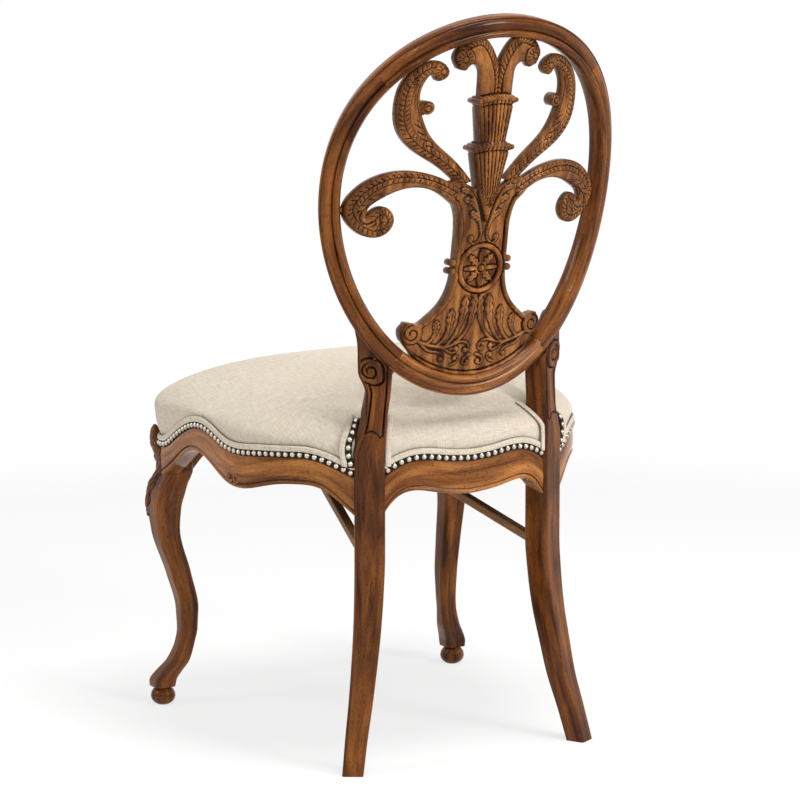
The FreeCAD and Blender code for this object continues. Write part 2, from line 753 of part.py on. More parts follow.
rail_dowels_left = [dowel(Vec(*place), Vec(*axis)) for place, axis in RAIL_DOWELS]
post_dowels_left = [post_dowel(angle) for angle in POST_DOWELS]
oval_dowels_left = joint_dowels(CREST_JOINT) + joint_dowels(SHOE_JOINT)
splat_dowels_left = [splat_dowel(place, axis) for place, axis in SPLAT_DOWELS]
foot_dowel_ends = [Vec(*FRONT_FOOT, z) for z in FOOT_DOWEL_Z]
foot_dowel = cylinder(*foot_dowel_ends, FOOT_DOWEL_RADIUS)

dowels_left = rail_dowels_left + post_dowels_left + oval_dowels_left + splat_dowels_left
dowels_right = [mirrored(d) for d in dowels_left]
leg_rear = largest(leg_rear.cut(dowels_left))
leg_front = largest(leg_front.cut(dowels_left + [foot_dowel]))
rail_back = largest(rail_back.cut(dowels_left + dowels_right))
rail_front = largest(rail_front.cut(dowels_left + dowels_right))
rail_side = largest(rail_side.cut(dowels_left))
crest = largest(crest.cut(dowels_left + dowels_right))
shoe = largest(shoe.cut(dowels_left + dowels_right))
stile = largest(stile.cut(dowels_left))
splat = largest(splat.cut(dowels_left + dowels_right))
ball = make_ball_foot().cut(foot_dowel)

middle_slice = Part.makeBox(2 * BOARD_JOINT_X, 800, 1200, Vec(-BOARD_JOINT_X, -100, 0))
feather_slice = Part.makeBox(2 * FEATHER_REACH, 800, 200, Vec(-FEATHER_REACH, -100, FEATHER_FOOT_Z))
middle_slice = middle_slice.fuse(feather_slice)
splat_centre = largest(splat.common(middle_slice))
splat_wing = largest(splat.cut(middle_slice).common(Part.makeBox(400, 800, 1200, Vec(0, -100, 0))))

# Screws through the corner blocks and at the braces' ends
screws_left = [screw(head, tip) for head, tip in SCREWS]
screws_right = [mirrored(s) for s in screws_left]
block_front = largest(block_front.cut(screws_left))
block_rear = largest(block_rear.cut(screws_left))
rail_side = largest(rail_side.cut(screws_left))
rail_front = largest(rail_front.cut(screws_left + screws_right))
rail_back = largest(rail_back.cut(screws_left + screws_right))

# Upholstery
post_room = make_rear_leg(POST_GAP)
posts_room = [post_room, mirrored(post_room)]
pad_outer = crowned_pad(0.0)
pad_inner = crowned_pad(COVER_THICKNESS)
dome = pad_outer.cut(pad_inner).cut(posts_room)
cover = largest(dome.fuse(cover_skirt(posts_room)))
foam = largest(pad_inner.cut(posts_room))

strip_left = left_band(-COVER_THICKNESS, 0.0, 0.0, STRIP_HEIGHT).cut(post_room)
welt_left = left_band(-COVER_THICKNESS, WELT_STAND, STRIP_HEIGHT, STRIP_HEIGHT + WELT_HEIGHT).cut(post_room)
strip_back = back_ring(-COVER_THICKNESS, 0.0).common(back_band(0.0, STRIP_HEIGHT)).cut(posts_room)
welt_back = back_ring(-COVER_THICKNESS, WELT_STAND).common(
    back_band(STRIP_HEIGHT, STRIP_HEIGHT + WELT_HEIGHT)).cut(posts_room)
strip_front = front_ring(-COVER_THICKNESS, 0.0).common(front_band(0.0, STRIP_HEIGHT))
welt_front = front_ring(-COVER_THICKNESS, WELT_STAND).common(
    front_band(STRIP_HEIGHT, STRIP_HEIGHT + WELT_HEIGHT))
dust_outline = seat_outline(-RAIL_THICKNESS - DUST_GAP, BLOCK_Z[0] - DUST_THICKNESS)
dust_plan = Part.Face(dust_outline).extrude(UP * DUST_THICKNESS)
dust_cover = largest(dust_plan.cut(legs_rear + [leg_front, mirrored(leg_front)]))

single = {
    "back_rail": rail_back,
    "front_rail": rail_front,
    "oval_crest": crest,
    "oval_shoe": shoe,
    "splat_centre_board": splat_centre,
    "seat_foam": foam,
    "seat_cover": cover,
    "nail_strip_back": largest(strip_back),
    "nail_strip_front": largest(strip_front),
    "welt_back": largest(welt_back),
    "welt_front": largest(welt_front),
    "nails_back": back_nails(),
    "nails_front": front_nails(),
    "seat_webbing": Part.makeCompound(make_webbing()),
    "dust_cover": dust_cover,
}
pairs = {
    "rear_leg": leg_rear,
    "front_leg": leg_front,
    "ball_foot": ball,
    "side_rail": rail_side,
    "oval_stile": stile,
    "splat_wing": splat_wing,
    "corner_block_front": block_front,
    "corner_block_rear": block_rear,
    "brace": brace,
    "nail_strip": largest(strip_left),
    "welt": largest(welt_left),
    "nails": side_nails(),
}
groups = {
    "rail_dowels": rail_dowels_left,
    "post_dowels": post_dowels_left,
    "oval_dowels": oval_dowels_left,
    "splat_dowels": splat_dowels_left,
    "foot_dowels": [foot_dowel],
    "block_screws": screws_left,
}

nodes = dict(single)
for name, shape in pairs.items():
    nodes[name + "_left"] = shape
    nodes[name + "_right"] = mirrored(shape)
for name, shapes in groups.items():
    nodes[name] = Part.makeCompound(shapes + [mirrored(s) for s in shapes])

for name, shape in sorted(nodes.items()):
    print(f"{name:24s} solids {len(shape.Solids):3d} valid {shape.isValid()} volume {shape.Volume / 1000:9.2f}")
    shape.exportStep(f"parts/{name}.step")
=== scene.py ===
import math

import bpy
import numpy as np
from bpy.props import FloatProperty, FloatVectorProperty, PointerProperty
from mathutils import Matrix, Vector


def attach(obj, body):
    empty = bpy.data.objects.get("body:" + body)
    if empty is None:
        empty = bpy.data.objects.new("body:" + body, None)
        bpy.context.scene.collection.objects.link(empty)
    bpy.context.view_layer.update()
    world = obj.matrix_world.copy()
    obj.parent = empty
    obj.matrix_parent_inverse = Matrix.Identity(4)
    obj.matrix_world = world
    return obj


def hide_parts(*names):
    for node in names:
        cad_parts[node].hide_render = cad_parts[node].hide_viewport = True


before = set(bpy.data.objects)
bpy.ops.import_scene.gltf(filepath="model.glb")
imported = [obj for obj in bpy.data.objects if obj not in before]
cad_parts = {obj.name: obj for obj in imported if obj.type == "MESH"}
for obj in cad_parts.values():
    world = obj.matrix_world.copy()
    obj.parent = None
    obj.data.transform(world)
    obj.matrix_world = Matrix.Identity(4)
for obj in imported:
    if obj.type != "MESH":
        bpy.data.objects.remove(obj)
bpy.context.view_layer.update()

bl_info = {
    "name": "Oval Back Side Chair",
    "version": (1, 0, 0),
    "blender": (4, 5, 0),
    "location": "3D View > Sidebar > Chair",
    "description": "Builds a carved oval back side chair with a nailed linen seat on its CAD frame",
    "category": "Add Mesh",
}

# All shapes are written in millimetres: +Z up, the chair faces -Y, the sitter's left is +X
MM = 0.001
UP = np.array((0.0, 0.0, 1.0))

# What each letter of a piece's name adds to where its grain starts, in metres, so that no two look alike
GRAIN_APART = 0.013

# The back: a leaning surface bowed in plan, the oval on it and the splat inside the oval
BACK_Y = 205.0
BACK_Z = 620.0
BACK_LEAN = 0.172
BOW_RADIUS = 470.0
OVAL_CENTRE_Z = 793.6
OVAL_HALF_WIDTH = 228.0
OVAL_HALF_HEIGHT = 268.6
OVAL_EGG = 0.11
OVAL_SHOULDER = 0.05
OVAL_FACE = 28.0
CREST_JOINT = 46.6
SHOE_JOINT = -54.9
SPLAT_OFFSET = -4.0
SPLAT_THICKNESS = 18.0
CARVING_DEPTH = 1.6
BACK_PROUD = 3.0
BOARD_JOINT_X = 43.0
FEATHER_REACH = 70.0
FEATHER_FOOT_Z = 986.0

# The splat's reach to one side, and its lowest and highest point
SPLAT_BOX = (206.0, 544.0, 1038.0)

# The splat's outlines, +X side, as (x, z)
VASE_FOOT = [(0, 545), (30, 549), (52, 557), (76, 573), (94, 592), (106, 608), (110, 621), (107, 632),
             (99, 635), (88, 632), (73, 641)]
VASE_SIDE = [(73, 641), (58, 655), (48, 671), (42.5, 689), (40.5, 720), (40.5, 745), (43, 784), (49, 800),
             (62, 813), (56, 834)]
VASE_TOP = [(56, 834), (40, 832), (20, 822), (0, 815)]
LOWER_FROND_OUTER = [(40, 822), (71, 839), (98, 848), (130, 851), (162, 843), (187, 824), (199, 799),
                     (186, 772), (159, 758), (140, 764), (132, 782), (139, 797), (149, 802), (159, 799),
                     (170, 788)]
LOWER_FROND_INNER = [(170, 788), (167, 800), (156, 810), (138, 820), (110, 827), (80, 821), (50, 800)]
UPPER_FROND_OUTER = [(43, 826), (80, 857), (114, 879), (137, 907), (142.5, 943), (136, 973), (116, 996),
                     (94, 1003.5), (77, 995), (73, 984), (79, 976.5)]
UPPER_FROND_INNER = [(79, 976.5), (90, 975.5), (96, 984), (106, 974), (111, 955), (105, 925), (89, 895),
                     (57, 866), (25, 832)]
SMALL_SCROLL = (101.5, 938.5, 9.5)
FEATHER_OUTER = [(-5, 940), (-5, 976), (2, 1001), (11, 1018), (27, 1033), (52, 1029),
                 (67.5, 1007), (61, 991)]
FEATHER_INNER = [(61, 991), (48, 988.5), (41, 995.5), (32, 993), (26.5, 975), (25.5, 940)]
UPPER_CUP = [(-28.5, 941), (-22, 948), (0, 952), (22, 948), (28.5, 941), (19, 880), (-19, 880)]
LOWER_CUP = [(-29, 876), (-23, 884), (0, 888), (23, 884), (29, 876), (15, 815), (0, 776), (-15, 815)]
CUP_SIDES = {"upper": [(880, 19), (942, 28.5)], "lower": [(776, 1), (815, 15), (876, 29)]}
CUP_REEDS = 9
CUP_RIMS = {"upper": (946.0, 5.0), "lower": (881.0, 6.0)}
ROUNDEL = (0.0, 707.5, 36.0)
ROUNDEL_FLOOR = -9.0
SPLAT_FLOOR = -6.0
EDGE_BALLS = [(44.2, 717.5, 5.0), (44.6, 705.5, 5.0)]
FROND_BALL = (84.5, 988.0, 12.0)
FEATHER_BALL = (54.5, 1003.5, 13.0)

# Leaves and curls carved on the vase: spines as (x, z), with the greatest half width
VASE_LEAVES = [
    ([(44, 598), (33, 611), (24, 630), (20, 649), (18.5, 668)], 5.4),
    ([(58, 598), (46, 611), (40, 629), (39, 650)], 5.2),
    ([(73, 602), (64, 612), (60, 623), (62, 636)], 4.4),
    ([(34, 599), (17, 614), (8, 634), (4.6, 655), (3.6, 669)], 5.0),
    ([(5, 757), (8, 772), (15, 783), (25, 788)], 4.2),
    ([(9, 775), (14, 792), (23, 803), (35, 808)], 4.2),
    ([(14, 795), (22, 811), (31, 819), (42, 822)], 3.6),
]
VASE_STEMS = [
    ([(92, 612), (75, 603), (55, 598), (38, 598), (22, 603), (11, 600), (8, 592), (13, 588)], 4.4),
    ([(62, 599), (44, 593), (30, 588), (25, 593), (29, 597)], 3.4),
    ([(84, 607), (66, 592), (53, 589), (47, 581), (52, 577)], 3.4),
    ([(4, 583), (12, 580), (16, 573), (10, 569), (6, 572)], 3.2),
    ([(34, 570), (26, 574), (24, 581), (30, 583)], 3.0),
    ([(21, 748), (14, 742), (7, 748), (4.5, 762), (9, 778), (15, 796), (24, 812)], 3.4),
]
VASE_BUDS = [(13.5, 590.5, 3.4), (28, 593.5, 3.2), (51, 580, 3.2), (8, 573, 3.0), (29, 579.5, 2.8),
             (20, 750.5, 4.2), (6.5, 669.5, 4.0)]
VASE_VOLUTE = (96.0, 619.0, 14.5)

# The seat frame's plan along the rails' outer faces
BACK_RAIL_Y = 201.6
SIDE_START = (166.0, 163.0)
SIDE_ARC_RADIUS = 235.0
SIDE_ARC_ANGLE = 56.0
SIDE_FLAT_RADIUS = 4500.0
SIDE_END_Y = -250.0
FRONT_Y = -296.0
FRONT_RADIUS = 3700.0
FRONT_END_X = 224.0
CORNER_CENTRE = np.array((224.4, -250.0))
RAIL_THICKNESS = 27.0
RAIL_TOP = 455.0
BACK_RAIL_HALF = 138
SIDE_RAIL_ENDS = (172, -246)
FRONT_RAIL_HALF = 214
REBATE = 4.0
CORNER_WAVE_Z = 398.0
BACK_COVER_HALF = 128.0

# Rails' lower edges, and the line where wood meets upholstery, as (place along the rail, height)
BACK_LOWER = [(0, 384), (53, 390), (88, 395), (112, 386), (128, 367), (140, 345)]
BACK_WAVE = [(0, 431), (40, 434), (80, 438), (108, 431), (128, 419), (140, 410)]
SIDE_LOWER = [(185, 330), (163, 362), (138, 394), (108, 402), (74, 398), (18, 384), (-42, 390),
              (-82, 405), (-122, 413), (-162, 405), (-202, 381), (-243, 358)]
SIDE_WAVE = [(185, 400), (163, 416), (130, 437), (92, 439), (46, 435), (-2, 431), (-42, 436),
             (-102, 449), (-152, 440), (-202, 415), (-230, 401), (-252, 398)]
FRONT_LOWER = [(0, 380), (45, 386), (105, 405), (150, 398), (190, 372), (215, 345)]
FRONT_WAVE = [(0, 429), (45, 434), (105, 447), (150, 440), (195, 412), (224, 398)]

# Upholstery
STRIP_HEIGHT = 9.0
WELT_HEIGHT = 8.0
CROWN_CENTRE = np.array((0.0, -60.0))
CROWN_TOP = 544.0
CROWN_RISE = 79.0
CROWN_SPREAD = 2.2
CROWN_ROUND = 1.4
SWELL_Z = 466.0
DUST_Z = 424.4

# Rear legs: height, outer back edge, width and depth of the canted section
REAR_CANT = math.radians(30.0)
REAR_LEG = [(0, 206.5, 199.9, 30, 29), (50, 197.1, 191.5, 32, 30), (100, 187.0, 183.3, 34.5, 31.5),
            (150, 179.9, 178.2, 37, 33), (200, 173.8, 173.0, 39.5, 34.5), (250, 170.3, 169.7, 41.5, 35.5),
            (300, 168.6, 167.6, 43, 36), (372, 168.6, 167.6, 43, 36), (445, 168.6, 167.6, 43, 36),
            (494, 155.8, 175.0, 31, 34), (535, 154.0, 176.0, 34, 33), (567, 164.0, 170.3, 48, 32),
            (600, 164.5, 170.0, 50, 32), (640, 170.5, 166.5, 50, 32)]
REAR_ROUND = 4.0
POST_SPLAY = 8.0
SPLAY_DEPTH = 11.0
POST_FOOT = 430
POST_TOP_ROW = 545.0
POST_VOLUTE = (17.0, 567.3)

# Painted shade along the edges of legs and splat, darkest at the edge, and how far in it fades
EDGE_SHADE = 0.42
SPLAT_EDGE_SHADE = 0.5
EDGE_SHADE_REACH = 6.0

# Front legs: height, centre along the outward diagonal from the foot, extent along it
FRONT_FOOT = (249.0, -281.0)
FRONT_LEG = [(27, 1, 40), (36, 0, 42), (50, -9, 40), (69, -24, 36), (98, -35, 31), (120, -39, 32),
             (147, -39, 35), (202, -26, 39), (267, -6.5, 45), (300, -5, 53), (322, -9, 57), (337, -13, 58),
             (348, -19, 56), (358, -23, 54), (366, -23, 53), (376, -20.5, 54.5), (398, -20.5, 54.5)]
FRONT_LEG_ROUND = 7.0
KNEE_FOOT = 270
KNEE_LEAF_FOOT = 284
KNEE_LEAF_HEIGHT = 112
BALL_RADIUS = 18.5
BALL_HEIGHT = 27.0

# Corner leaf: height, centre along the diagonal, half width and half thickness
CORNER_LEAF = [(350, -18, 4, 5), (364, -12, 9, 9.5), (382, -3.3, 13, 13.4), (398, 4.4, 14, 11.6),
               (411, 7.4, 12, 8.2), (420, 8.2, 7, 4.8), (424, 8.4, 2, 1.4)]

# Scrolls on the side rails: place along y, height, radius and hand
RAIL_SCROLLS = [(-1.0, 394.5, 7.0, 1), (-14.5, 396.5, 7.6, -1)]

# Front corners of rails and upholstery: drawn in behind the leaf, with the linen swelling out above
CORNER_TIP = np.array((252.7, -278.3))
CORNER_TUCK = 6.0
CORNER_SPREAD = 19.5
CORNER_SWELL = 4.6
CORNER_SWELL_SPREAD = 80.0

# Bands turned up beside the posts: heights, lift off the linen, and gap from a post; True is its outer side
TURN_UP_TAPE = np.linspace(430.0, 494.0, 18)
TURN_UP_WELT = np.linspace(432.0, 497.0, 18)
TURN_UP_LIFT = 2.4
TAPE_GAP = 4.6
WELT_GAP = {True: 13.2, False: 4.2}

# Nails: how far they stand off their line, and how far each is turned from the one before
NAIL_LIFT = 0.7
NAIL_TURN = 0.7

# The seat's cover: its hem as (above the welt, out from the rail), how it swells and where it is held
COVER_HEM = [(-6.0, -15.0), (-6.0, -3.4), (-1.0, -2.6), (1.4, -0.8), (4.0, -0.2)]
COVER_VOXEL = 4.5
CLOTH_PRESSURE = 4.0
CLOTH_FRAMES = 20
SWELL_CAP = 5.0
HELD_ABOVE_WELT = 6.0
HELD_ABOVE_FLOOR = 3.0
HELD_BESIDE_POST = 7.0
PAD_FLOOR = 460.0

# Webbing and dust cover; the dust cover's cut size and area are in metres
WEB_WIDTH = 50.0
WEB_PITCH = 81.0
WEB_MIDDLE_Y = -55.0
WEB_INSET = 10.5
WEB_WEAVE = 0.75
WEB_Z = 456.5
WEB_SECTION = [(-25, -0.7), (25, -0.7), (25, 0.7), (-25, 0.7)]
DUST_GAP = 1.0
DUST_SAG = 4.0

# Stage, in metres and watts
VIEW_AZIMUTH = 150.69
VIEW_ELEVATION = 10.78
VIEW_DISTANCE = 5.880
VIEW_LENS = 183.5
VIEW_TARGET = Vector((0.0, -0.0024, 0.4835))
FLOOR_HALF = 8.0
WORLD_LIGHT = 0.36
FLOOR_GLOW = 0.72
STAGE_LAMPS = [("key_lamp", (3.2, -0.6, 2.4), 1.2, 26.0), ("fill_lamp", (-1.7, 3.9, 2.3), 1.3, 86.0),
               ("top_lamp", (-0.2, 0.7, 3.0), 1.3, 62.0), ("glint_lamp", (2.2, 3.8, 3.0), 0.3, 14.0)]


# Curves and distances

def unit(vectors):
    return vectors / np.linalg.norm(vectors, axis=-1, keepdims=True)


def spline_through(knots, values, where):
    """Natural cubic spline through values at rising knots, read at where."""
    knots = np.asarray(knots, float)
    values = np.asarray(values, float)
    flat = values.reshape(len(knots), -1)
    gaps = np.diff(knots)[:, None]
    slopes = np.diff(flat, axis=0) / gaps
    matrix = np.eye(len(knots))
    right = np.zeros_like(flat)
    for i in range(1, len(knots) - 1):
        matrix[i, i - 1:i + 2] = (gaps[i - 1, 0], 2 * (gaps[i - 1, 0] + gaps[i, 0]), gaps[i, 0])
        right[i] = 6 * (slopes[i] - slopes[i - 1])
    bend = np.linalg.solve(matrix, right)
    where = np.atleast_1d(np.asarray(where, float))
    i = np.clip(np.searchsorted(knots, where) - 1, 0, len(knots) - 2)
    h = gaps[i]
    a = (knots[i + 1] - where)[:, None] / h
    b = 1 - a
    out = a * flat[i] + b * flat[i + 1] + ((a ** 3 - a) * bend[i] + (b ** 3 - b) * bend[i + 1]) * h * h / 6
    return out.reshape(where.shape + values.shape[1:])


def eased(knots, values, where):
    """Smooth line through values at rising knots that never swings past them."""
    knots = np.asarray(knots, float)
    values = np.asarray(values, float)
    gaps = np.diff(knots)[:, None]
    slopes = np.diff(values, axis=0) / gaps
    same = slopes[:-1] * slopes[1:] > 0
    inner = np.where(same, 2 * slopes[:-1] * slopes[1:] / np.where(same, slopes[:-1] + slopes[1:], 1), 0)
    tangents = np.concatenate((slopes[:1], inner, slopes[-1:]))
    i = np.clip(np.searchsorted(knots, where) - 1, 0, len(knots) - 2)
    h = gaps[i]
    t = (where - knots[i])[:, None] / h
    rise = t * t * (3 - 2 * t)
    start = values[i] * (1 - rise) + values[i + 1] * rise
    return start + h * t * (1 - t) * ((1 - t) * tangents[i] - t * tangents[i + 1])


def curve_line(points, step=2.5):
    """Points about a step apart on a smooth curve through given points."""
    points = np.asarray(points, float)
    knots = lengths_along(points)
    count = max(3, int(knots[-1] / step) + 1)
    return spline_through(knots, points, np.linspace(0, knots[-1], count))


def circle_line(x, z, radius, count=40):
    turn = np.linspace(0, 2 * math.pi, count, endpoint=False)
    return np.column_stack((x + radius * np.cos(turn), z + radius * np.sin(turn)))


def lengths_along(points):
    return np.concatenate(([0.0], np.cumsum(np.linalg.norm(np.diff(points, axis=0), axis=1))))


def nearest(x, z, line):
    """Distance to a polyline, and the place along it."""
    best = np.full(x.shape, np.inf)
    along = np.zeros(x.shape)
    start = 0.0
    for (ax, az), (bx, bz) in zip(line[:-1], line[1:]):
        dx = bx - ax
        dz = bz - az
        length = math.hypot(dx, dz)
        t = np.clip(((x - ax) * dx + (z - az) * dz) / length ** 2, 0, 1)
        gap = np.hypot(x - ax - t * dx, z - az - t * dz)
        closer = gap < best
        best[closer] = gap[closer]
        along[closer] = start + t[closer] * length
        start += length
    return best, along


def depth_in(x, z, loop, margin=2.5):
    """Signed depth inside a closed outline; far outside it is only known to be outside."""
    out = np.full(x.shape, -margin)
    low = loop.min(axis=0) - margin
    high = loop.max(axis=0) + margin
    close = (x > low[0]) & (x < high[0]) & (z > low[1]) & (z < high[1])
    px = x[close]
    pz = z[close]
    ring = np.vstack((loop, loop[:1]))
    gap, _ = nearest(px, pz, ring)
    within = np.zeros(px.shape, bool)
    for (ax, az), (bx, bz) in zip(ring[:-1], ring[1:]):
        if az != bz:
            within ^= ((az > pz) != (bz > pz)) & (px < ax + (pz - az) * (bx - ax) / (bz - az))
    out[close] = np.where(within, gap, -gap)
    return out


# Carver's cuts, as heights in millimetres

def groove(gap, width, deep):
    return -deep * np.clip(1 - np.abs(gap) / (width / 2), 0, 1)


def bead(gap, width, height):
    return height * np.sqrt(np.clip(1 - (gap / (width / 2)) ** 2, 0, 1))


def cuts(turns, share, deep):
    """Repeated cuts, one to a turn, each a share of the turn wide."""
    away = np.abs(turns - np.round(turns))
    return -deep * np.clip(1 - away / (share / 2), 0, 1)


def between(gap, low, high, soft=1.0):
    return np.clip((gap - low) / soft, 0, 1) * np.clip((high - gap) / soft, 0, 1)


def rounded_off(depth, radius, drop):
    """How far an edge falls away, depth being the distance in from it."""
    rest = 1 - np.clip(depth, 0, radius) / radius
    return drop * (1 - np.sqrt(1 - rest * rest))


# The back's surface and the oval on it

def back_y(x, z):
    return BACK_Y + BACK_LEAN * (z - BACK_Z) - BOW_RADIUS + np.sqrt(BOW_RADIUS ** 2 - x * x)


def back_normal(x):
    """The back's slope across, and the directions square to its surface."""
    slope = -x / np.sqrt(BOW_RADIUS ** 2 - x * x)
    return slope, unit(np.column_stack((-slope, np.ones_like(x), np.full_like(x, -BACK_LEAN))))


def oval_frames(degrees):
    """Places on the oval's centre line with their outward, normal and tangent directions."""
    turn = np.radians(degrees)
    rise = np.sin(turn)
    reach = np.cos(turn)
    swell = 1 + OVAL_EGG * rise + OVAL_SHOULDER * rise * rise
    x = OVAL_HALF_WIDTH * reach * swell
    z = OVAL_CENTRE_Z + OVAL_HALF_HEIGHT * rise
    dx = OVAL_HALF_WIDTH * (reach * reach * (OVAL_EGG + 2 * OVAL_SHOULDER * rise) - rise * swell)
    dz = OVAL_HALF_HEIGHT * reach
    slope, normal = back_normal(x)
    tangent = unit(np.column_stack((dx, BACK_LEAN * dz + slope * dx, dz)))
    outward = unit(np.cross(normal, tangent))
    edge = np.column_stack((x, back_y(x, z), z))
    return edge - outward * (OVAL_FACE / 2), outward, normal, tangent


def oval_edge(inward, count=120):
    """The oval's outline in x and z, a distance in from its outer edge."""
    middle, outward, _, _ = oval_frames(np.linspace(-90, 270, count, endpoint=False))
    edge = middle + outward * (OVAL_FACE / 2 - inward)
    return edge[:, [0, 2]]


# Meshes

def grid_faces(rows, columns, ring=True):
    """Quads between rows of points; a ring's last column joins its first."""
    last = columns if ring else columns - 1
    faces = []
    for i in range(rows - 1):
        for j in range(last):
            k = (j + 1) % columns
            faces.append((i * columns + j, i * columns + k, (i + 1) * columns + k, (i + 1) * columns + j))
    return faces


def swept(rings):
    """Closed skin over a list of equal rings, with a flat cap at both ends."""
    rings = np.asarray(rings, float)
    rows, columns, _ = rings.shape
    faces = grid_faces(rows, columns)
    faces.append(tuple(range(columns - 1, -1, -1)))
    faces.append(tuple(range((rows - 1) * columns, rows * columns)))
    return rings.reshape(-1, 3), faces


def joined(parts):
    """Several skins, with their values of glaze and painted shade and their grain, as one."""
    points = []
    faces = []
    glaze_and_shade = []
    grain = []
    start = 0
    for part in parts:
        points.append(part[0])
        faces += [tuple(start + i for i in face) for face in part[1]]
        glaze_and_shade.append(part[2])
        grain.append(part[3])
        start += len(part[0])
    return np.vstack(points), faces, np.concatenate(glaze_and_shade), np.vstack(grain)


def mirrored_skin(skin):
    points, faces, glaze_and_shade, grain = skin
    return points * (-1, 1, 1), [face[::-1] for face in faces], glaze_and_shade, grain


def ring_grain(rings):
    """Grain directions on a sweep: along its length first, then round it."""
    rings = np.asarray(rings, float)
    middle = rings.mean(axis=1)
    along = lengths_along(middle)
    around = lengths_along(rings[len(rings) // 2])
    rows, columns, _ = rings.shape
    grain = np.zeros((rows, columns, 3))
    grain[:, :, 0] = along[:, None]
    grain[:, :, 1] = around[None, :]
    return grain.reshape(-1, 3)


def swept_skin(rings, glaze_and_shade):
    """A sweep's closed skin with its glaze and painted shade, its grain running along it."""
    return *swept(rings), np.ravel(glaze_and_shade), ring_grain(rings)


def put_values(mesh, glaze_and_shade, grain):
    """Gives a mesh's points their glaze and painted shade, their place in the grain, and shades it smooth.
    """
    glaze_and_shade = np.asarray(glaze_and_shade, np.float32)
    mesh.attributes.new("glaze_and_shade", "FLOAT", "POINT").data.foreach_set("value", glaze_and_shade)
    grain = np.asarray(grain, np.float32).ravel()
    mesh.attributes.new("grain", "FLOAT_VECTOR", "POINT").data.foreach_set("vector", grain)
    mesh.polygons.foreach_set("use_smooth", np.ones(len(mesh.polygons), bool))


def make_piece(name, skin, material, nodes, sharp=42.0):
    """A Blender object from a skin, riding on the chair and standing for CAD nodes.

    Edges that turn by more than sharp, in degrees, are not shaded smooth.
    """
    points, faces, glaze_and_shade, grain = skin
    mesh = bpy.data.meshes.new(name)
    mesh.from_pydata((points * MM).tolist(), [], faces)
    put_values(mesh, glaze_and_shade, grain * MM + GRAIN_APART * sum(ord(letter) for letter in name))
    mesh.set_sharp_from_angle(angle=math.radians(sharp))
    mesh.validate()
    piece = bpy.data.objects.new(name, mesh)
    bpy.context.collection.objects.link(piece)
    mesh.materials.append(finish(material))
    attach(piece, "root")
    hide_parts(*nodes)
    return piece


def make_pair(prefix, node, skin):
    """The left and right pieces of a kind, in the frame's walnut, from the left one's skin."""
    for side, half in (("left", skin), ("right", mirrored_skin(skin))):
        make_piece(f"{prefix}_{node}_{side}", half, "walnut_satin_frame", [f"{node}_{side}"])


# The oval

def arc_rows(centre, radius, start, end, count):
    turns = np.radians(np.linspace(start, end, count))
    return [(centre[0] + radius * math.cos(t), centre[1] + radius * math.sin(t), 0.0) for t in turns]


def oval_ring():
    """The oval's moulding as (across, depth, glaze and painted shade): a fine bead, a broad round face and
    a roll, darker in the grooves.
    """
    rows = [(14.0, 0.0, 0.0), (14.0, 4.6, 0.0), (13.4, 5.6, 0.6)]
    rows += arc_rows((12.3, 7.2), 1.7, -25, 115, 7)
    rows += [(10.9, 8.4, 0.9), (10.4, 9.2, 0.2)]
    rows += [(10.0 - 14.0 * t, 9.6 + 11.0 * t * (1 - t), 0.0) for t in np.linspace(0, 1, 12)]
    rows += [(-4.6, 8.8, 0.9), (-5.2, 9.2, 0.3)]
    rows += arc_rows((-10.0, 9.0), 4.8, 20, 178, 14)
    rows += [(-15.4, 8.2, 0.6), (-16.0, 7.2, 0.1), (-16.0, 0.0, 0.0)]
    back = np.array(rows)
    front = back[-2:0:-1] * (1, -1, 1)
    return np.vstack((back, front))


def oval_arc_skin(start, end, spacing):
    """One sawn arc of the oval, its ends eased so that the joint shows as a fine line."""
    ring = oval_ring()
    span = math.radians(end - start) * (OVAL_HALF_WIDTH + OVAL_HALF_HEIGHT) / 2
    count = int(span / spacing)
    degrees = np.linspace(start, end, count + 1)
    ease = 0.2
    degrees = np.sort(np.concatenate((degrees, (start + ease, end - ease))))
    middle, outward, normal, _ = oval_frames(degrees)
    shrink = np.ones(len(degrees))
    shrink[[0, -1]] = 1 - 0.5 / OVAL_FACE
    across = ring[None, :, :1] * shrink[:, None, None]
    deep = ring[None, :, 1:2] * shrink[:, None, None]
    rings = middle[:, None] + across * outward[:, None] + deep * normal[:, None]
    glaze_and_shade = np.tile(ring[:, 2], (len(degrees), 1))
    glaze_and_shade[[0, -1]] = np.maximum(glaze_and_shade[[0, -1]], 0.45)
    return swept_skin(rings, glaze_and_shade)


# The carved splat

def cup_half_width(name, z):
    heights, widths = zip(*CUP_SIDES[name])
    return np.interp(z, heights, widths)


def cup_petals(name):
    """Discs of the turned-over petals along a cup's rim."""
    rim, sag = CUP_RIMS[name]
    width = CUP_SIDES[name][-1][1]
    discs = []
    for k in range(6):
        x = width * k / 5
        discs.append((x, rim + 3.0 - sag * (x / width) ** 2, 3.7))
    return discs


def outline(*lines):
    """Smooth curves through given points, joined end to end."""
    return np.vstack([curve_line(lines[0])] + [curve_line(line)[1:] for line in lines[1:]])


def away_from(x, z, centre):
    return np.hypot(x - centre[0], z - centre[1])


def turn_round(x, z, centre):
    return np.arctan2(z - centre[1], x - centre[0])


def spiral(x, z, centre, radius, pitch, start, hand, width, deep):
    """A groove that winds inward from a radius, a pitch to a turn."""
    away = away_from(x, z, centre)
    turn = (hand * turn_round(x, z, centre) / (2 * math.pi) - start) % 1.0
    k = np.round((radius - away) / pitch - turn)
    arm = radius - pitch * (turn + k)
    drawn = (k >= 0) & (arm > width)
    return np.where(drawn, groove(away - arm, width, deep), 0)


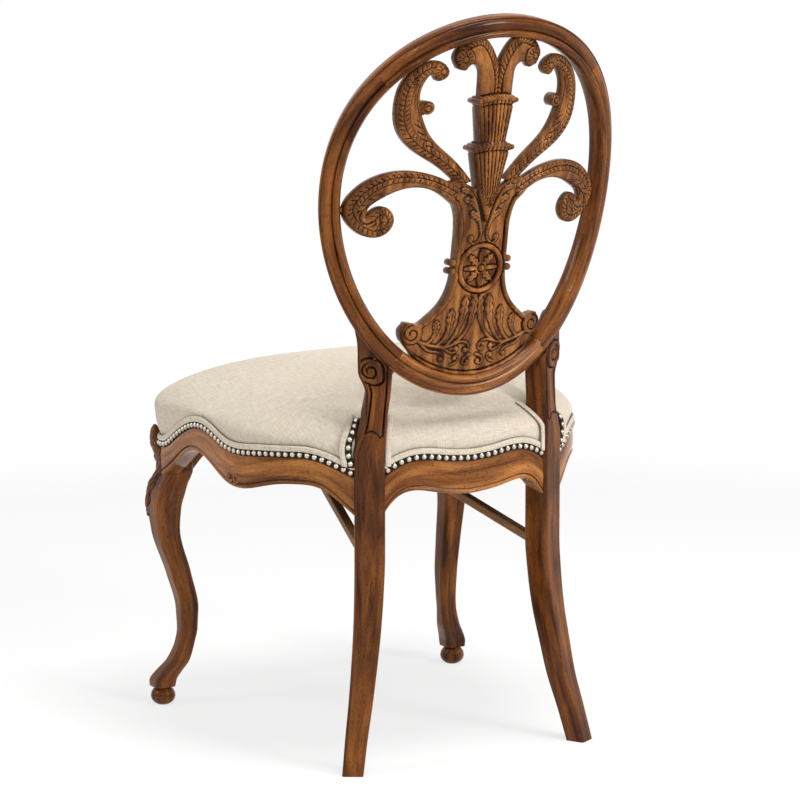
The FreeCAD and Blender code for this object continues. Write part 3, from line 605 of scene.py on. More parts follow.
def rosette_ball(x, z, ball, petals):
    """A scroll's ball end with radial cuts round a button, and where it lies."""
    away = away_from(x, z, ball)
    turns = turn_round(x, z, ball) / (2 * math.pi) * petals
    height = bead(away, 2.3 * ball[2], 2.0) + cuts(turns + away / 30, 0.34, 1.7) * between(away, 4.4, 11.6)
    height = height + groove(away - 4.2, 2.0, 1.2) + bead(away, 7.6, 0.8)
    return height, away


def carve_lower_frond(x, z):
    """Two rings of barbs that widen into the coil, and a smooth inner side along the stem."""
    gap, along = nearest(x, z, curve_line(LOWER_FROND_OUTER))
    ring = np.interp(along, (0, 110, 190, 240), (8.0, 8.5, 10.0, 10.5))
    pitch = 8.4
    height = groove(gap - ring, 2.6, 1.6) + groove(gap - 1.8 * ring, 2.4, 1.1)
    height += cuts((along + 0.7 * gap) / pitch, 0.32, 1.6) * between(gap, 2.6, ring)
    height += cuts((along - 0.7 * gap) / pitch, 0.32, 1.5) * between(gap, ring + 0.8, 1.72 * ring)
    return height + 0.5


def carve_upper_frond(x, z):
    gap, along = nearest(x, z, curve_line(UPPER_FROND_OUTER))
    inner, inner_along = nearest(x, z, curve_line(UPPER_FROND_INNER))
    height = groove(gap - 9.0, 2.4, 1.5) + groove(gap - 17.0, 2.2, 1.0)
    height += cuts((along + 0.8 * gap) / 7.6, 0.32, 1.6) * between(gap, 2.0, 8.6)
    height += cuts((along - 0.8 * gap) / 7.6, 0.32, 1.4) * between(gap, 9.6, 16.4)
    height += -1.1 * between(gap, 17.0, 60.0, 4.0) * between(inner, 6.0, 60.0, 3.0)
    height += groove(inner - 5.8, 2.2, 1.3) * between(gap, 19.0, 60.0)
    barbs = cuts((inner_along + 1.3 * inner) / 10.0, 0.3, 1.5)
    height += barbs * between(inner, 6.4, 15.0) * between(z, 874, 924, 6.0)
    ball, away = rosette_ball(x, z, FROND_BALL, 12)
    return np.where(away < FROND_BALL[2] + 0.6, ball, height + 0.4)


def carve_feather(x, z):
    gap, along = nearest(x, z, curve_line(FEATHER_OUTER))
    height = groove(gap - 11.5, 2.4, 1.7) + groove(x, 2.6, 2.2)
    height += cuts((along + 1.0 * gap) / 7.4, 0.34, 1.7) * between(gap, 2.2, 11.0)
    height += -0.6 * between(gap, 14.0, 40.0, 4.0)
    ball, away = rosette_ball(x, z, FEATHER_BALL, 11)
    return np.where(away < FEATHER_BALL[2] + 0.6, ball, height + 0.2)


def carve_scroll(x, z):
    return 0.9 + spiral(x, z, SMALL_SCROLL, 8.0, 4.4, 0.6, -1, 2.2, 1.6)


def carve_cup(name):
    def carve(x, z):
        half = cup_half_width(name, z)
        place = x / half
        rim = CUP_RIMS[name][0]
        height = 4.0 * np.sqrt(np.clip(1 - place * place, 0, 1)) + 0.2
        height += cuts((place * CUP_REEDS + 1) / 2, 0.42, 2.0) * np.clip((half - 4.0) / 6.0, 0, 1)
        return height + groove(z - rim + 6.0 + 4.0 * place * place, 4.0, 1.8)
    return carve


def carve_petal(disc):
    def carve(x, z):
        fan = np.arctan2(x - disc[0], disc[1] + 6 - z) / (2 * math.pi) * 12
        bulge = 4.0 * math.sqrt(max(0.0, 1 - (disc[0] / 36) ** 2))
        return bulge + bead(away_from(x, z, disc), 2.4 * disc[2], 2.0) + cuts(fan, 0.4, 0.7)
    return carve


def carve_ball(ball):
    def carve(x, z):
        return -3.0 + bead(away_from(x, z, ball), 2.2 * ball[2], 3.6)
    return carve


def carve_roundel(x, z):
    """A moulded rim round a rosette of eight petals, plain and lobed by turns, and a button."""
    away = away_from(x, z, ROUNDEL)
    turn = turn_round(x, z, ROUNDEL)
    ground = -3.0
    height = ground + bead(away - 32.4, 7.2, 4.0) + groove(away - 27.8, 2.6, 0.8)
    for k in range(8):
        across = away * np.sin(turn - k * math.pi / 4)
        ahead = away * np.cos(turn - k * math.pi / 4) > 0
        half = 3.3 * np.sqrt(np.clip(1 - ((away - 15.0) / 12.0) ** 2, 0, 1)) + 0.01
        if k % 2:
            half = half * (1.35 + 0.4 * np.cos(away * 0.9))
        petal = bead(across, 2 * half, 3.0) + groove(across, 2.0, 1.2)
        if k % 2:
            petal = petal + cuts(away / 5.0, 0.3, 1.0)
        inside = ahead & (np.abs(across) < half) & (away < 27.5)
        height = np.where(inside, np.maximum(height, ground + petal), height)
    button = bead(away, 9.0, 2.6) - 0.6
    return np.where(away < 4.5, button, height + groove(away - 5.4, 2.4, 1.2))


def leaf_height(x, z, spine, half_width):
    """A carved leaf: a slim blade with a ridge that ends in three pointed lobes."""
    line = curve_line(spine)
    gap, along = nearest(x, z, line)
    part = along / lengths_along(line)[-1]
    lobes = 0.0
    for middle, spread, share in ((0.58, 0.07, 0.35), (0.74, 0.06, 0.8), (0.88, 0.05, 0.6)):
        lobes = lobes + share * np.exp(-((part - middle) / spread) ** 2)
    half = half_width * (0.34 + 0.3 * part + lobes) * np.clip((1.03 - part) / 0.08, 0.1, 1)
    height = bead(gap, 2 * half, 2.2) + groove(gap, 2.0, 1.1) * (part < 0.92)
    return np.where(gap < half, height, -1.2 * np.clip(1 - (gap - half) / 2.2, 0, 1))


def stem_height(x, z, spine, width):
    line = curve_line(spine, 1.5)
    gap, along = nearest(x, z, line)
    part = along / lengths_along(line)[-1]
    broad = width * (1.0 - 0.4 * part)
    edge = -0.9 * np.clip(1 - (gap - broad / 2) / 1.6, 0, 1)
    return np.where(gap < broad / 2, bead(gap, broad, 2.0), edge)


def laid_over(carved, shape):
    """A carving with a shape laid over it, whose sunk edge shows only on bare ground."""
    ground = np.where(carved > 0, carved, np.minimum(carved, shape))
    return np.where(shape > 0, np.maximum(carved, shape), ground)


def carve_vase(x, z):
    """Sunk ground with a bead along its edges, and leaves and curls left standing on it."""
    neck = curve_line(VASE_FOOT[-3:] + VASE_SIDE[1:8])
    under_frond = curve_line(LOWER_FROND_INNER[::-1])[:30]
    gap, _ = nearest(x, z, np.vstack((neck, under_frond)))
    inner_edge = oval_edge(OVAL_FACE)
    foot, _ = nearest(x, z, np.vstack((inner_edge, inner_edge[:1])))
    carved = np.zeros(x.shape)
    for spine, half_width in VASE_LEAVES:
        carved = laid_over(carved, leaf_height(x, z, spine, half_width))
    for spine, width in VASE_STEMS:
        carved = laid_over(carved, stem_height(x, z, spine, width))
    for bud in VASE_BUDS:
        carved = np.maximum(carved, bead(away_from(x, z, bud), 2 * bud[2], 2.6))
    height = -2.2 + carved
    height = np.where(gap < 6.4, -1.8 + bead(gap - 3.4, 6.2, 2.4), height) + groove(gap - 7.0, 2.4, 1.3)
    height = np.where(foot < 6.0, -2.0 + bead(foot - 3.2, 5.0, 2.2), height) + groove(foot - 7.0, 2.2, 1.2)
    away = away_from(x, z, VASE_VOLUTE)
    volute = 0.4 + bead(away, 8.0, 1.2) + spiral(x, z, VASE_VOLUTE, 12.5, 7.4, 0.75, -1, 2.8, 2.0)
    return np.where(away < VASE_VOLUTE[2], volute, height)


def splat_elements():
    """Each carved element's closed outline, carving, and the radius and drop of its edges.

    Outlines on the middle line run past it, and later elements lie on earlier ones.
    """
    past = -20.0
    vase = np.vstack((outline(VASE_FOOT, VASE_SIDE, VASE_TOP), [(past, 815), (past, 545)]))
    elements = [(vase, carve_vase, 3.0, 2.4),
                (outline(LOWER_FROND_OUTER, LOWER_FROND_INNER), carve_lower_frond, 13.0, 8.5),
                (outline(UPPER_FROND_OUTER, UPPER_FROND_INNER), carve_upper_frond, 13.0, 8.5),
                (outline(FEATHER_OUTER, FEATHER_INNER), carve_feather, 12.0, 8.0),
                (circle_line(*SMALL_SCROLL), carve_scroll, 3.5, 2.6),
                (np.array(UPPER_CUP, float), carve_cup("upper"), 6.0, 4.0),
                (np.array(LOWER_CUP, float), carve_cup("lower"), 6.0, 4.0),
                (circle_line(*ROUNDEL, 80), carve_roundel, 2.4, 2.0)]
    for ball in EDGE_BALLS:
        elements.append((circle_line(*ball, 24), carve_ball(ball), 1.0, 0.5))
    for name in CUP_SIDES:
        for disc in cup_petals(name):
            elements.append((circle_line(*disc, 24), carve_petal(disc), 2.2, 2.0))
    return elements


def splat_depth(x, z, elements):
    """Depth inside the splat's outline, which ends just within the oval."""
    depth = np.full(x.shape, -2.5)
    for loop, *_ in elements:
        depth = np.maximum(depth, depth_in(x, z, loop))
    within_oval = depth_in(x, z, oval_edge(OVAL_FACE - 2.5), 4.0)
    return np.minimum(depth, within_oval)


def splat_height(x, z, elements):
    """Height of the carving above the boards' flat faces. The roundel is sunk into the vase."""
    height = np.full(x.shape, SPLAT_FLOOR)
    for loop, carve, radius, drop in elements:
        depth = depth_in(x, z, loop)
        here = depth > -1.2
        shaped = CARVING_DEPTH * carve(x[here], z[here]) - rounded_off(depth[here], radius, drop)
        below = ROUNDEL_FLOOR if carve is carve_roundel else height[here]
        height[here] = np.maximum(below, shaped)
    return height


def centre_board(x, z):
    feathers = np.minimum(FEATHER_REACH - np.abs(x), z - FEATHER_FOOT_Z)
    return np.maximum(BOARD_JOINT_X - np.abs(x), feathers)


def wing_board(x, z):
    return -centre_board(x, z)


def outline_grid(depth, x, z, step):
    """Polygons over the cells inside an outline; corners close to it are moved onto it."""
    rise_z, rise_x = np.gradient(depth, step)
    steep = np.maximum(rise_x ** 2 + rise_z ** 2, 0.05)
    snap = np.abs(depth) < 0.34 * step * np.sqrt(steep)
    x = np.where(snap, x - depth * rise_x / steep, x)
    z = np.where(snap, z - depth * rise_z / steep, z)
    depth = np.where(snap, 0.0, depth)
    rows, columns = depth.shape
    kept = depth >= 0
    index = np.arange(rows * columns).reshape(rows, columns)
    corners = (index[:-1, :-1], index[:-1, 1:], index[1:, 1:], index[1:, :-1])
    cells = np.stack(corners, axis=-1).reshape(-1, 4)
    flat_kept = kept.ravel()
    flat_depth = depth.ravel()
    count = flat_kept[cells].sum(axis=1)
    polygons = [tuple(cell) for cell in cells[count == 4].tolist()]
    extra = []
    crossing = {}
    flat_x = x.ravel()
    flat_z = z.ravel()
    for cell in cells[(count > 0) & (count < 4)].tolist():
        polygon = []
        for p, q in zip(cell, cell[1:] + cell[:1]):
            if flat_kept[p]:
                polygon.append(p)
            if flat_kept[p] == flat_kept[q]:
                continue
            a, b = (p, q) if flat_kept[p] else (q, p)
            if flat_depth[a] == 0:
                continue
            if (a, b) not in crossing:
                t = flat_depth[a] / (flat_depth[a] - flat_depth[b])
                crossing[a, b] = rows * columns + len(extra)
                across = flat_x[a] + t * (flat_x[b] - flat_x[a])
                extra.append((across, flat_z[a] + t * (flat_z[b] - flat_z[a])))
            polygon.append(crossing[a, b])
        if len(polygon) > 2:
            polygons.append(tuple(polygon))
    places = np.column_stack((flat_x, flat_z))
    if extra:
        places = np.vstack((places, extra))
    used = sorted({i for polygon in polygons for i in polygon})
    renamed = {old: new for new, old in enumerate(used)}
    return places[used], [tuple(renamed[i] for i in polygon) for polygon in polygons]


def averaged(values, edges, rounds):
    """Values evened out over a mesh's edges, for finding what lies deeper than its surroundings."""
    total = len(values)
    links = np.bincount(edges.ravel(), minlength=total)
    start, end = edges.T
    for _ in range(rounds):
        near = np.bincount(start, values[end], total) + np.bincount(end, values[start], total)
        values = (values + near) / (1 + links)
    return values


def board_skin(within_board, left_edge, step):
    """A carved board, closed: back face, front face and the sawn edge between them."""
    elements = splat_elements()
    reach, low, high = SPLAT_BOX
    x, z = np.meshgrid(np.arange(left_edge, reach + step, step), np.arange(low, high + step, step))
    depth = np.minimum(splat_depth(np.abs(x), z, elements), within_board(x, z))
    places, polygons = outline_grid(depth, x, z, step)
    px, pz = places.T
    height = splat_height(np.abs(px), pz, elements)
    pairs = np.array([(p, q) for polygon in polygons for p, q in zip(polygon, polygon[1:] + polygon[:1])])
    inset = np.clip(splat_depth(np.abs(px), pz, elements), 0, None)
    # Dark glaze in the cuts, made near black where the carving lies deeper than its surroundings, is partly
    # painted shade in the recesses; near the outline the boards get painted shade along their edges
    glaze_and_shade = np.clip((averaged(height, pairs, 8) - height - 0.06) / 0.46, 0, 1) * np.clip(inset / 2.0, 0, 1)
    glaze_and_shade = np.maximum(glaze_and_shade, SPLAT_EDGE_SHADE * np.exp(-inset / EDGE_SHADE_REACH))
    keys = pairs[:, 0] * len(px) + pairs[:, 1]
    rim = pairs[~np.isin(keys, pairs[:, 1] * len(px) + pairs[:, 0])]
    half = SPLAT_THICKNESS / 2
    surface = back_y(px, pz) + SPLAT_OFFSET
    back = np.column_stack((px, surface + half + BACK_PROUD + height, pz))
    front = np.column_stack((px, surface - half - height, pz))
    count = len(px)
    faces = [polygon[::-1] for polygon in polygons]
    faces += [tuple(i + count for i in polygon) for polygon in polygons]
    faces += [(p, q, q + count, p + count) for p, q in rim.tolist()]
    points = np.vstack((back, front))
    grain = points[:, [2, 0, 1]]
    return points, faces, np.tile(glaze_and_shade, 2), grain


# Legs

def box_columns(radius, counts, corner=4):
    """Columns round an eased rectangle.

    Each is (constant, share of width) along it, (constant, share of depth) inward, and its side.
    """
    columns = []
    for side in range(4):
        for t in np.linspace(0, 1, counts[side]):
            inset = radius * (1 - 2 * t)
            columns.append([(inset, t, 0, 0, 0), (0, 1, inset, t, 1), (-inset, 1 - t, 0, 1, 2),
                            (0, 0, -inset, 1 - t, 3)][side])
        for k in range(1, corner):
            turn = math.pi / 2 * k / corner
            near = radius * (1 - math.sin(turn))
            far = radius * (1 - math.cos(turn))
            columns.append([(-near, 1, far, 0, 4), (-far, 1, -near, 1, 4), (near, 0, -far, 1, 4),
                            (far, 0, near, 0, 4)][side])
    return np.array(columns, float)


def rear_leg_rows(z):
    rows = np.array(REAR_LEG, float)
    return eased(rows[:, 0], rows[:, 1:], z)


def rear_axes():
    across = np.array((-math.cos(REAR_CANT), math.sin(REAR_CANT), 0))
    inward = np.array((-math.sin(REAR_CANT), -math.cos(REAR_CANT), 0))
    return across, inward


def post_splay(z):
    """How far a post spreads from its back face on its outer side."""
    return POST_SPLAY * np.interp(z, (436, 468, 510, 552), (0, 1, 0.8, 0))


def rear_leg_places(z, columns):
    """Points of a rear leg's skin, their place across the back face, its width and the nearest edge.

    The last value says which points lie on the back face.
    """
    across, inward = rear_axes()
    x, y, width, depth = rear_leg_rows(z.ravel()).T
    column = np.tile(columns, (z.shape[0], 1))
    a = column[:, 0] + column[:, 1] * width
    b = column[:, 2] + column[:, 3] * depth
    edge = np.maximum(np.minimum(a, width - a), np.minimum(b, depth - b))
    splayed = a - post_splay(z.ravel()) * (1 - column[:, 1]) * np.clip(b / SPLAY_DEPTH, 0, 1)
    points = np.column_stack((x, y, z.ravel())) + splayed[:, None] * across + b[:, None] * inward
    return points, a, width, edge, column[:, 4] == 0


def within_oval(points):
    """Depth inside the oval's outer edge, read square to the back's surface."""
    x, y, z = points.T
    _, normal = back_normal(x)
    off = (y - back_y(x, z)) * normal[:, 1]
    return depth_in(x - off * normal[:, 0], z - off * normal[:, 2], oval_edge(0.0), 30.0)


def post_carving(a, z, width):
    """The post's back face: a volute, and two incised lines that run down to an ogee."""
    left = np.interp(z, (470, 483, 520, 545, 556), (3.4, 3.6, 6.2, 8.0, 10.0))
    right = width - np.interp(z, (470, 483, 545, 600), (4.2, 4.4, 6.4, 8.0))
    part = (a - left) / (right - left)
    ogee = np.interp(part, (0, 0.15, 0.35, 0.6, 0.85, 1), (479, 482, 483, 480.5, 473.5, 477))
    panel = (z > ogee) & (z < 553)
    height = groove(a - left, 4.0, 2.4) * panel + groove(a - right, 4.0, 2.4) * (z > ogee)
    inside = (part > -0.04) & (part < 1.04)
    height = np.minimum(height, groove(z - ogee, 4.4, 2.4) * inside)
    away = away_from(a, z, POST_VOLUTE)
    curl = spiral(a, z, POST_VOLUTE, 12.8, 6.6, 0.25, 1, 3.8, 3.0) + bead(away, 9.0, 1.6)
    band = np.maximum(bead(away - 15.2, 6.0, 1.6), 0.4)
    edge = groove(away - 19.0, 4.2, 2.6) * (a > POST_VOLUTE[0] - 12)
    return np.where(away < 18.0, np.where(away > 12.4, band, 0.4) + curl, np.minimum(height, edge))


def rear_leg_skin():
    """Left rear leg from the floor to the oval, with its carved post."""
    columns = box_columns(REAR_ROUND, (34, 12, 12, 12))
    low = np.concatenate((np.arange(0, POST_FOOT, 5.0), np.arange(POST_FOOT, POST_TOP_ROW, 1.6)))
    count = len(columns)
    search = np.repeat(np.arange(POST_TOP_ROW, 641)[:, None], count, axis=1)
    points = rear_leg_places(search, columns)[0]
    inside = within_oval(points).reshape(search.shape) > -0.05
    inside[-1] = True
    tops = search[inside.argmax(axis=0), np.arange(count)]
    shares = np.linspace(0, 1, 46)[:, None]
    high = POST_TOP_ROW + shares * (tops - POST_TOP_ROW)[None, :]
    z = np.vstack((np.repeat(low[:, None], count, axis=1), high))
    points, a, width, edge, on_back = rear_leg_places(z, columns)
    height = np.where(on_back, post_carving(a, z.ravel(), width), 0.0)
    _, inward = rear_axes()
    points = points - height[:, None] * inward
    # Painted shade along the leg's edges, and dark glaze with painted shade in the post's cuts
    edge_shade = EDGE_SHADE * np.exp(-edge / EDGE_SHADE_REACH)
    glaze_and_shade = np.maximum(np.clip(-height / 1.2, 0, 1), edge_shade)
    return swept_skin(points.reshape(len(z), count, 3), glaze_and_shade)


def knee_carving(q, z):
    """Carved leaf on the knee, lobed, veined and edged with a cut; q is measured from the outer corner."""
    part = np.clip((z - KNEE_LEAF_FOOT) / KNEE_LEAF_HEIGHT, 0, 1)
    half = 3 + 27 * part ** 0.8 + 3.2 * np.cos(part * 4.5 * 2 * math.pi) * (part > 0.02)
    inside = (q < half) & (z > KNEE_LEAF_FOOT)
    veins = cuts((z - 1.5 * q) / 12.5, 0.3, 2.2) * between(q, 4.0, 60.0, 2.0)
    raised = 3.4 * np.sqrt(np.clip(1 - (q / half) ** 2, 0, 1)) + veins + groove(q - 3.0, 2.4, 0.8)
    edge = -1.4 * np.clip(1 - (q - half) / 3.0, 0, 1) * (z > KNEE_LEAF_FOOT)
    return np.where(inside, raised, edge)


def front_leg_skin():
    """Left front leg: a cabriole with a carved knee, its section square to the chair's diagonal."""
    columns = box_columns(FRONT_LEG_ROUND, (22, 16, 16, 22))
    rows = np.array(FRONT_LEG, float)
    low, high = rows[0, 0], rows[-1, 0]
    z = np.concatenate((np.arange(low, KNEE_FOOT, 3.0), np.arange(KNEE_FOOT, high, 1.5), (high,)))
    centre, extent = eased(rows[:, 0], rows[:, 1:], z).T
    half = (extent + 2 * FRONT_LEG_ROUND * (math.sqrt(2) - 1)) / math.sqrt(2) / 2
    step = centre / math.sqrt(2)
    corner = np.column_stack((FRONT_FOOT[0] + step + half, FRONT_FOOT[1] - step - half, z))
    a = columns[None, :, 0] + columns[None, :, 1] * 2 * half[:, None]
    b = columns[None, :, 2] + columns[None, :, 3] * 2 * half[:, None]
    rings = corner[:, None] + a[:, :, None] * np.array((0, 1, 0)) + b[:, :, None] * np.array((-1, 0, 0))
    level = np.repeat(z[:, None], len(columns), axis=1)
    side = columns[None, :, 4]
    outer = (side == 0) | (side == 3) | ((side == 4) & (a + b < 2 * FRONT_LEG_ROUND + 2))
    height = np.where(outer, knee_carving(np.maximum(a, b), level), 0.0)
    middle = rings.mean(axis=1, keepdims=True)
    away = unit((rings - middle) * (1, 1, 0))
    rings = rings + away * height[:, :, None]
    # The knee's cuts and the leaf's ribs are darkened: dark glaze with painted shade in the recesses
    return joined([swept_skin(rings, np.clip(-height / 0.9, 0, 1)), corner_leaf_skin()])


def corner_leaf_skin():
    """The leaf that stands at the corner, rooted on the knee and free of the upholstery above."""
    spine = np.array(CORNER_LEAF, float)
    z = np.linspace(spine[0, 0], spine[-1, 0], 50)
    reach, half, thick = spline_through(spine[:, 0], spine[:, 1:], z).T
    out = np.array((1, -1, 0)) / math.sqrt(2)
    side = np.array((1, 1, 0)) / math.sqrt(2)
    part = (z - z[0]) / (z[-1] - z[0])
    lobed = half * (1 + 0.12 * np.cos(part * 5 * 2 * math.pi))
    turns = np.linspace(0, 2 * math.pi, 40, endpoint=False)
    foot = np.array((*FRONT_FOOT, 0.0))
    rings = []
    shade = []
    for i in range(len(z)):
        across = lobed[i] * np.sin(turns)
        cupped = -0.012 * across * across
        ribs = cuts((z[i] - 0.8 * np.abs(across)) / 11.0, 0.36, 1.3) * (np.abs(across) > 2)
        deep = thick[i] * np.cos(turns) + cupped + ribs * (np.cos(turns) > 0)
        middle = foot + out * reach[i] + UP * z[i]
        rings.append(middle + np.outer(across, side) + np.outer(deep, out))
        shade.append(np.clip(-ribs / 2.0, 0, 1) * (np.cos(turns) > 0))
    return swept_skin(rings, shade)


def ball_foot_skin():
    """Turned foot: a flattened ball with a fine line cut round its middle and a neck under the leg."""
    profile = [(0.0, 0.0), (9.5, 0.0)]
    lowest = 62
    middle = 13.0
    for degrees in np.linspace(-lowest, 50, 22):
        turn = math.radians(degrees)
        z = middle + middle * math.sin(turn) / math.sin(math.radians(lowest))
        profile.append((BALL_RADIUS * math.cos(turn) ** 0.9, z))
    profile += [(10.6, 24.8), (11.6, 25.7), (11.6, BALL_HEIGHT), (0.0, BALL_HEIGHT)]
    profile = np.array(profile)
    line = groove(profile[:, 1] - 15.5, 2.4, 0.7)
    spokes = 56
    rings = []
    for (radius, z), cut in zip(profile, line):
        around = circle_line(*FRONT_FOOT, max(radius + cut, 0.4), spokes)
        rings.append(np.column_stack((around, np.full(spokes, z))))
    points, faces = swept(rings)
    # The fine line cut round the ball is darkened: dark glaze with painted shade in the cut
    glaze_and_shade = np.repeat(np.clip(-line, 0, 1), spokes)
    return points, faces, glaze_and_shade, points[:, [2, 0, 1]]


# Plan of the seat frame: each line gives places and outward directions

def back_places(x):
    y0 = BACK_RAIL_Y - BOW_RADIUS
    y = y0 + np.sqrt(BOW_RADIUS ** 2 - x * x)
    return np.column_stack((x, y)), np.column_stack((x, y - y0)) / BOW_RADIUS


def side_centre():
    turn = math.radians(SIDE_ARC_ANGLE)
    x, y = SIDE_START
    return x - SIDE_ARC_RADIUS * math.cos(turn), y - SIDE_ARC_RADIUS * math.sin(turn)


def side_places(y):
    cx, cy = side_centre()
    rear = y > cy
    round_x = cx + np.sqrt(np.maximum(SIDE_ARC_RADIUS ** 2 - (y - cy) ** 2, 1.0))
    flat_x = cx + SIDE_ARC_RADIUS - (cy - y) ** 2 / (2 * SIDE_FLAT_RADIUS)
    x = np.where(rear, round_x, flat_x)
    lean = np.where(rear, (y - cy) / np.maximum(x - cx, 1.0), (y - cy) / SIDE_FLAT_RADIUS)
    return np.column_stack((x, y)), unit(np.column_stack((np.ones_like(y), lean)))


def front_places(x):
    y = FRONT_Y + x * x / (2 * FRONT_RADIUS)
    return np.column_stack((x, y)), unit(np.column_stack((x / FRONT_RADIUS, -np.ones_like(x))))


def corner_places(count):
    start = side_places(np.array((SIDE_END_Y,)))[0][0] - CORNER_CENTRE
    end = front_places(np.array((FRONT_END_X,)))[0][0] - CORNER_CENTRE
    turn = np.linspace(math.atan2(start[1], start[0]), math.atan2(end[1], end[0]), count)
    radius = np.linspace(np.hypot(*start), np.hypot(*end), count)
    outward = np.column_stack((np.cos(turn), np.sin(turn)))
    return CORNER_CENTRE + outward * radius[:, None], outward


def tucked(places, outward):
    """Places drawn in where the front corners are cut back behind the leaves."""
    away = np.hypot(*(places - CORNER_TIP).T)
    return places - outward * (CORNER_TUCK * np.exp(-(away / CORNER_SPREAD) ** 2))[:, None]


def height_along(rows, place):
    rows = sorted((abs(s) if rows[0][0] == 0 else s, z) for s, z in rows)
    knots, heights = zip(*rows)
    return spline_through(knots, heights, place)


# Rails

def rail_skin(places, outward, low, wave):
    """A rail with a bead along its lower edge, a gently rounded face and a rebate for the upholstery."""
    rings = []
    bulge = 1.1
    for (x, y), (nx, ny), bottom, top in zip(places, outward, low, wave):
        # Rows are (out, height, glaze and painted shade): painted shade under the rail, in the groove above
        # the bead and in the rebate under the upholstery
        rows = [(-RAIL_THICKNESS, bottom, 0.3), (-7.0, bottom, 0.2)]
        rows += [(c - 2.4, s + bottom, 0) for c, s, _ in arc_rows((0.0, 2.9), 2.9, -80, 75, 7)]
        rows += [(-1.9, bottom + 6.4, 1.0), (-0.2, bottom + 7.6, 0.35)]
        for t in np.linspace(0.02, 0.98, 10):
            rows.append((4 * bulge * t * (1 - t) - 0.1, bottom + 8 + (top - bottom - 9) * t, 0.0))
        rows += [(-0.5, top - 0.2, 0.4), (-REBATE, top, 1.0)]
        rows += [(-REBATE, RAIL_TOP, 0.5), (-RAIL_THICKNESS, RAIL_TOP, 0.5)]
        rows = np.array(rows)
        ring = np.column_stack((x + nx * rows[:, 0], y + ny * rows[:, 0], rows[:, 1]))
        rings.append(ring)
    return swept_skin(rings, np.tile(rows[:, 2], len(rings)))


def scroll_button(place, outward, z, radius, hand):
    """A small carved volute standing on a rail's face."""
    rings = 9
    spokes = 30
    along = np.array((-outward[1], outward[0], 0))
    out = np.array((*outward, 0))
    centre = np.array((*place, z))
    turns = np.linspace(0, 2 * math.pi, spokes, endpoint=False)
    rows = []
    shade = []
    for k in range(rings, 0, -1):
        r = radius * k / rings
        u = r * np.cos(turns)
        v = r * np.sin(turns)
        cut = spiral(u, v, (0, 0), 0.86 * radius, 0.52 * radius, 0.25, hand, 2.4, 1.8)
        lift = bead(np.full(spokes, r), 2.1 * radius, 3.0) + cut * (k < rings)
        rows.append(centre + np.outer(u, along) + np.outer(v, UP) + np.outer(lift - 0.6, out))
        shade.append(np.clip(-cut, 0, 1))
    base = rows[0] - out * 3.0
    points = np.vstack([base] + rows)
    faces = grid_faces(rings + 1, spokes)
    faces.append(tuple(range(rings * spokes, (rings + 1) * spokes)))
    faces.append(tuple(range(spokes - 1, -1, -1)))
    # Painted shade under the scroll's base and in its spiral cut
    glaze_and_shade = np.concatenate([np.ones(spokes)] + shade)
    return points, faces, glaze_and_shade, points[:, [1, 2, 0]]


def back_rail_skin():
    x = np.linspace(-BACK_RAIL_HALF, BACK_RAIL_HALF, 120)
    low = height_along(BACK_LOWER, np.abs(x))
    return rail_skin(*back_places(x), low, height_along(BACK_WAVE, np.abs(x)))


def side_rail_skin():
    y = np.linspace(*SIDE_RAIL_ENDS, 174)
    places, outward = side_places(y)
    low = height_along(SIDE_LOWER, y)
    parts = [rail_skin(tucked(places, outward), outward, low, height_along(SIDE_WAVE, y))]
    for place_y, z, radius, hand in RAIL_SCROLLS:
        spot, out = side_places(np.array((place_y,)))
        parts.append(scroll_button(spot[0], out[0], z, radius, hand))
    return joined(parts)


def front_rail_skin():
    x = np.linspace(FRONT_RAIL_HALF, -FRONT_RAIL_HALF, 180)
    places, outward = front_places(x)
    places = tucked(places, outward)
    places[x < 0] = (places * (-1, 1))[::-1][x < 0]
    low = height_along(FRONT_LOWER, np.abs(x))
    return rail_skin(places, outward, low, height_along(FRONT_WAVE, np.abs(x)))


# Upholstery

def crown_height(scale):
    return CROWN_TOP - CROWN_RISE * (1 - (1 - scale ** CROWN_SPREAD) ** (1 / CROWN_ROUND))


def crown_scale(z):
    """How far the crowned outline is drawn in at a height."""
    share = np.clip(1 - (CROWN_TOP - z) / CROWN_RISE, 0, 1) ** CROWN_ROUND
    return np.where(z <= CROWN_TOP - CROWN_RISE, 1.0, (1 - share) ** (1 / CROWN_SPREAD))


def edge_runs(tuck=True):
    """The left half of the nailed edge as runs of places, outward directions and wave heights."""
    back_x = np.linspace(0, BACK_COVER_HALF, 46)
    side_y = np.linspace(SIDE_START[1], SIDE_END_Y, 150)
    front_x = np.linspace(FRONT_END_X, 0, 76)
    runs = {"back": (*back_places(back_x), height_along(BACK_WAVE, back_x)),
            "side": (*side_places(side_y), height_along(SIDE_WAVE, side_y)),
            "corner": (*corner_places(24), np.full(24, CORNER_WAVE_Z)),
            "front": (*front_places(front_x), height_along(FRONT_WAVE, front_x))}
    if tuck:
        for name, (places, outward, wave) in runs.items():
            runs[name] = (tucked(places, outward), outward, wave)
    return runs


def seat_edge(tuck=True):
    """The whole left half outline of the seat: places, outward directions and wave heights."""
    runs = edge_runs(tuck)
    share = np.linspace(0, 1, 14)[1:-1, None]
    start = [values[-1] for values in runs["back"]]
    end = [values[0] for values in runs["side"]]
    gap = (start[0] + (end[0] - start[0]) * share, unit(start[1] + (end[1] - start[1]) * share),
           (start[2] + (end[2] - start[2]) * share[:, 0]))
    rest = [[values[1:] for values in runs[name]] for name in ("side", "corner", "front")]
    return joined_runs(runs["back"], gap, *rest)


def mirrored_run(run, order):
    """A run's places, outward directions and heights on the other side, taken in an order."""
    flip = np.array((-1, 1))
    return run[0][order] * flip, run[1][order] * flip, run[2][order]


def joined_runs(*runs):
    return tuple(np.concatenate(values) for values in zip(*runs))


def whole_edge(tuck=True):
    """The seat's outline all round, from the middle of the back over the left side and the front."""
    half = seat_edge(tuck)
    return joined_runs(half, mirrored_run(half, slice(-2, 0, -1)))


